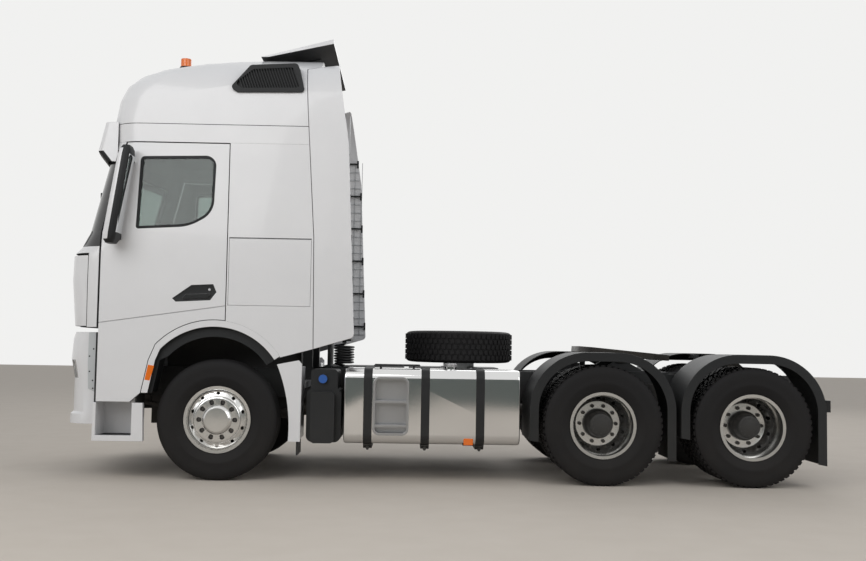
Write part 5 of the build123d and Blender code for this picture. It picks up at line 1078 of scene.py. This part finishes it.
place("tank_lamp_holder", lamp_holder, "chassis", black_plastic, "black_plastic", 30, 0.004)

# %% [markdown]
# ## Tank fittings
# The straps end in bolts under the tank. The filler has a ribbed cap, and the steps carry ridged treads.
# Loops add bolts and ridges to one bmesh of each kind, since separate objects would only be more to keep.

# %% Tank bolts, cap and treads
STRAP_PLACES = (-1341, -1854, -2346)
CAP_PLACE = at(-2080, 1070, 1020)
TREAD_ROWS = 9
bolts = bmesh.new()
for ahead in STRAP_PLACES:
    for left, up in ((1130, 322), (1095, 314)):
        drum(bolts, at(ahead, left, up), (0, 0, 1), 0.010, 0.060, 12)
        drum(bolts, at(ahead, left, up - 14), (0, 0, 1), 0.017, 0.014, 6)
    block(bolts, at(ahead - 34, 1080, 328), at(ahead + 34, 1150, 338))
place("strap_bolts", bolts, "chassis", frame_paint, "chassis_paint", 30)

grips = box((0.052, 0.020, -0.003), (0.0595, 0.044, 0.003))
ring_of(grips, 20)
cap = joined([spun(((56, 18), (56, 42), (50, 48), (24, 50), (0.2, 50), (0.2, 18)), 48), grips])
place("fuel_cap", moved(cap, CAP_PLACE, math.pi / 2, "X"), "chassis", bright_steel, "rim_steel", 30, 0.001)

treads = bmesh.new()
for side in (1, -1):
    for up, reach in ((381, 1236), (780, 1180), (1090, 1180)):
        for row in range(TREAD_ROWS):
            left = 925 + (reach - 945) * row / (TREAD_ROWS - 1)
            block(treads, at(738, side * left, up), at(1068, side * (left + 14), up + 6))
for row in range(TREAD_ROWS):
    block(treads, at(-1800, 908 + row * 23, 1048), at(-1394, 918 + row * 23, 1053))
bmesh.ops.recalc_face_normals(treads, faces=treads.faces)
place("step_treads", treads, "chassis", black_plastic, "black_plastic", 30, 0.001)

# %% [markdown]
# ## Fairing ribs and frame bolts
# The rear side fairings are ribbed inside and held by black clamps along their rear edge. Rows of bolts
# join the cross members to the rails. Ribs painted on as bump would vanish from behind, where they show
# most, so they are real strips.

# %% Fairing ribs, clamps and frame bolts


FAIRING_FOOT = (-1207, 1290)
FAIRING_BEND = (-1124, 3045)
FAIRING_TOP = (-1006, 3820)


def fairing_edge(up):
    """Where the fairing's rear edge lies at a height, in millimetres ahead of the front axle."""
    low, high = (FAIRING_FOOT, FAIRING_BEND) if up < FAIRING_BEND[1] else (FAIRING_BEND, FAIRING_TOP)
    return low[0] + (up - low[1]) * (high[0] - low[0]) / (high[1] - low[1])


for side_name, side in SIDES:
    ribs = bmesh.new()
    clamps = bmesh.new()
    for row in range(22):
        up = 1340 + row * 92
        edge = fairing_edge(up)
        block(ribs, at(edge + 8, side * 1211, up - 3), at(-872, side * 1223.5, up + 3))
        if row % 4 == 1:
            block(clamps, at(edge - 2, side * 1206, up - 42), at(edge + 16, side * 1222, up + 42))
            block(clamps, at(edge + 10, side * 1180, up - 8), at(-866, side * 1206, up + 8))
    for column in range(4):
        ahead = -1136 + column * 78
        block(ribs, at(ahead, side * 1211, 1330), at(ahead + 6, side * 1223.5, 3290))
    for mesh in (ribs, clamps):
        bmesh.ops.recalc_face_normals(mesh, faces=mesh.faces)
    place("fairing_ribs_" + side_name, ribs, "cab", grey_and_shade_paint, "body_paint", 30)
    place("fairing_clamps_" + side_name, clamps, "cab", black_plastic, "black_plastic", 30, 0.003)

CROSS_MEMBERS = (-1700, -2620, -3450, -4125, -4800, -5440)
frame_bolts = bmesh.new()
for member in CROSS_MEMBERS:
    for side in (1, -1):
        for across, up in ((-20, 930), (20, 930), (-20, 830), (20, 830)):
            drum(frame_bolts, at(member + across, side * 429, up), (0, side, 0), 0.011, 0.010, 6)
place("frame_bolts", frame_bolts, "chassis", cast_metal, "cast_metal", 30, 0.001)

# %% [markdown]
# ## Seats and bunk
# Each cushion is a closed form that crowns in its middle and pulls in between its corners. Simulated
# cloth would do that too, but they only show through the windows. So a subdivided block takes the shape
# from one formula, and a Subdivision Surface rounds it off.

# %% Cushions


def cushion(size, crown, waist):
    """A padded block about the origin: it crowns upward and its sides draw in."""
    mesh = bmesh.new()
    bmesh.ops.create_cube(mesh, size=2.0)
    bmesh.ops.subdivide_edges(mesh, edges=mesh.edges[:], cuts=7, use_grid_fill=True)
    for vert in mesh.verts:
        u, v, w = vert.co
        swell = (1 - u * u) * (1 - v * v)
        vert.co.x = u * (1 - waist * (1 - v * v)) * size[0] / 2
        vert.co.y = v * (1 - waist * (1 - u * u)) * size[1] / 2
        vert.co.z = w * (size[2] / 2 + crown * swell * (1.0 if w > 0 else 0.25))
    return mesh


def padded_piece(name, mesh, lean, centre):
    piece = place(name, moved(mesh, centre, lean, "Y"), "cab", seat_fabric, "interior_fabric", 180)
    rounding = piece.modifiers.new("rounding", "SUBSURF")
    rounding.levels = 2
    rounding.render_levels = 2


FLAT = 0.0
BACK_LEAN = math.radians(-97)
SEAT_MIDDLE = 640
for side_name, side in SIDES:
    middle = side * SEAT_MIDDLE
    padded_piece("seat_cushion_" + side_name, cushion((0.53, 0.52, 0.12), 0.018, 0.03), FLAT,
                 at(220, middle, 1772))
    padded_piece("seat_back_" + side_name, cushion((0.66, 0.48, 0.12), 0.020, 0.04), BACK_LEAN,
                 at(-68, middle, 2150))
    padded_piece("headrest_" + side_name, cushion((0.19, 0.27, 0.085), 0.012, 0.05), BACK_LEAN,
                 at(-128, middle, 2590))
padded_piece("bunk_mattress", cushion((0.49, 2.36, 0.13), 0.012, 0.01), FLAT, at(-549, 0, 1882))

seat_frames = bmesh.new()
for side in (1, -1):
    middle = side * SEAT_MIDDLE
    for back, front, half, low, high in ((0, 380, 190, 1386, 1500), (40, 340, 150, 1500, 1640),
                                         (-20, 440, 210, 1640, 1712)):
        block(seat_frames, at(back, middle - half, low), at(front, middle + half, high))
    for post in (-60, 60):
        drum(seat_frames, at(-118, middle + post, 2500), (-0.12, 0, 1), 0.008, 0.14, 12)
block(seat_frames, at(-799, -1190, 1786), at(-302, 1190, 1815))
frames_piece = place("seat_frames", seat_frames, "cab", trim_plastic, "interior_fabric", 30, 0.008)
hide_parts("seats")

# %% [markdown]
# ## Floor, backdrop and light
# A pale studio floor keeps the shadow that shows where the wheels stand. One large soft lamp from the
# front left shapes the cab, and weaker ones from the rear left and the right open its shadows. A low dark
# screen behind the camera, which the camera doesn't see, gives the polished tank a horizon to reflect.

# %% Studio
floor_material = finish("studio_floor", (0.66, 0.60, 0.53), (0.61, 0.55, 0.48), 0.80, grain=30.0, bump=0.05)
floor_mesh = bmesh.new()
bmesh.ops.create_grid(floor_mesh, x_segments=2, y_segments=2, size=40.0)
studio_floor = as_object("studio_floor", floor_mesh, (floor_material,))
screen_material = finish("horizon_screen", (0.16, 0.19, 0.18), (0.22, 0.25, 0.24), 0.9, grain=2.0, bump=0.0)
horizon_screen = as_object("horizon_screen", box((-30.0, 13.0, 0.0), (30.0, 13.2, 3.2)), (screen_material,))
horizon_screen.visible_camera = False

world = bpy.data.worlds.new("studio_world")
scene.world = world
world.use_nodes = True
world_tree = world.node_tree
sky = world_tree.nodes["Background"]
sky.inputs["Color"].default_value = (0.86, 0.88, 0.91, 1.0)
sky.inputs["Strength"].default_value = 0.45
seen_sky = world_tree.nodes.new("ShaderNodeBackground")
seen_sky.inputs["Color"].default_value = (0.88, 0.88, 0.87, 1.0)
seen_sky.inputs["Strength"].default_value = 1.0
ray_kind = world_tree.nodes.new("ShaderNodeLightPath")
seen_sharp = math_node(world_tree, "MAXIMUM", ray_kind.outputs["Is Camera Ray"],
                       ray_kind.outputs["Is Transmission Ray"])
seen_sharp = math_node(world_tree, "MAXIMUM", seen_sharp, ray_kind.outputs["Is Glossy Ray"])
sky_mix = world_tree.nodes.new("ShaderNodeMixShader")
world_tree.links.new(seen_sharp, sky_mix.inputs[0])
world_tree.links.new(sky.outputs[0], sky_mix.inputs[1])
world_tree.links.new(seen_sky.outputs[0], sky_mix.inputs[2])
world_tree.links.new(sky_mix.outputs[0], world_tree.nodes["World Output"].inputs["Surface"])

AIM = Vector((0, 0, 1.5))
LAMP_TABLE = (("key", (6.0, 10.0, 7.0), 500.0, 8.0), ("fill", (-8.0, 9.0, 6.0), 275.0, 7.0),
              ("back", (-3.0, -10.0, 8.0), 240.0, 8.0))
for lamp_name, lamp_place, lamp_power, lamp_size in LAMP_TABLE:
    lamp_data = bpy.data.lights.new(lamp_name, "AREA")
    lamp_data.energy = lamp_power
    lamp_data.size = lamp_size
    lamp = bpy.data.objects.new(lamp_name, lamp_data)
    lamp.location = lamp_place
    lamp.rotation_euler = (AIM - Vector(lamp_place)).to_track_quat("-Z", "Y").to_euler()
    scene.collection.objects.link(lamp)
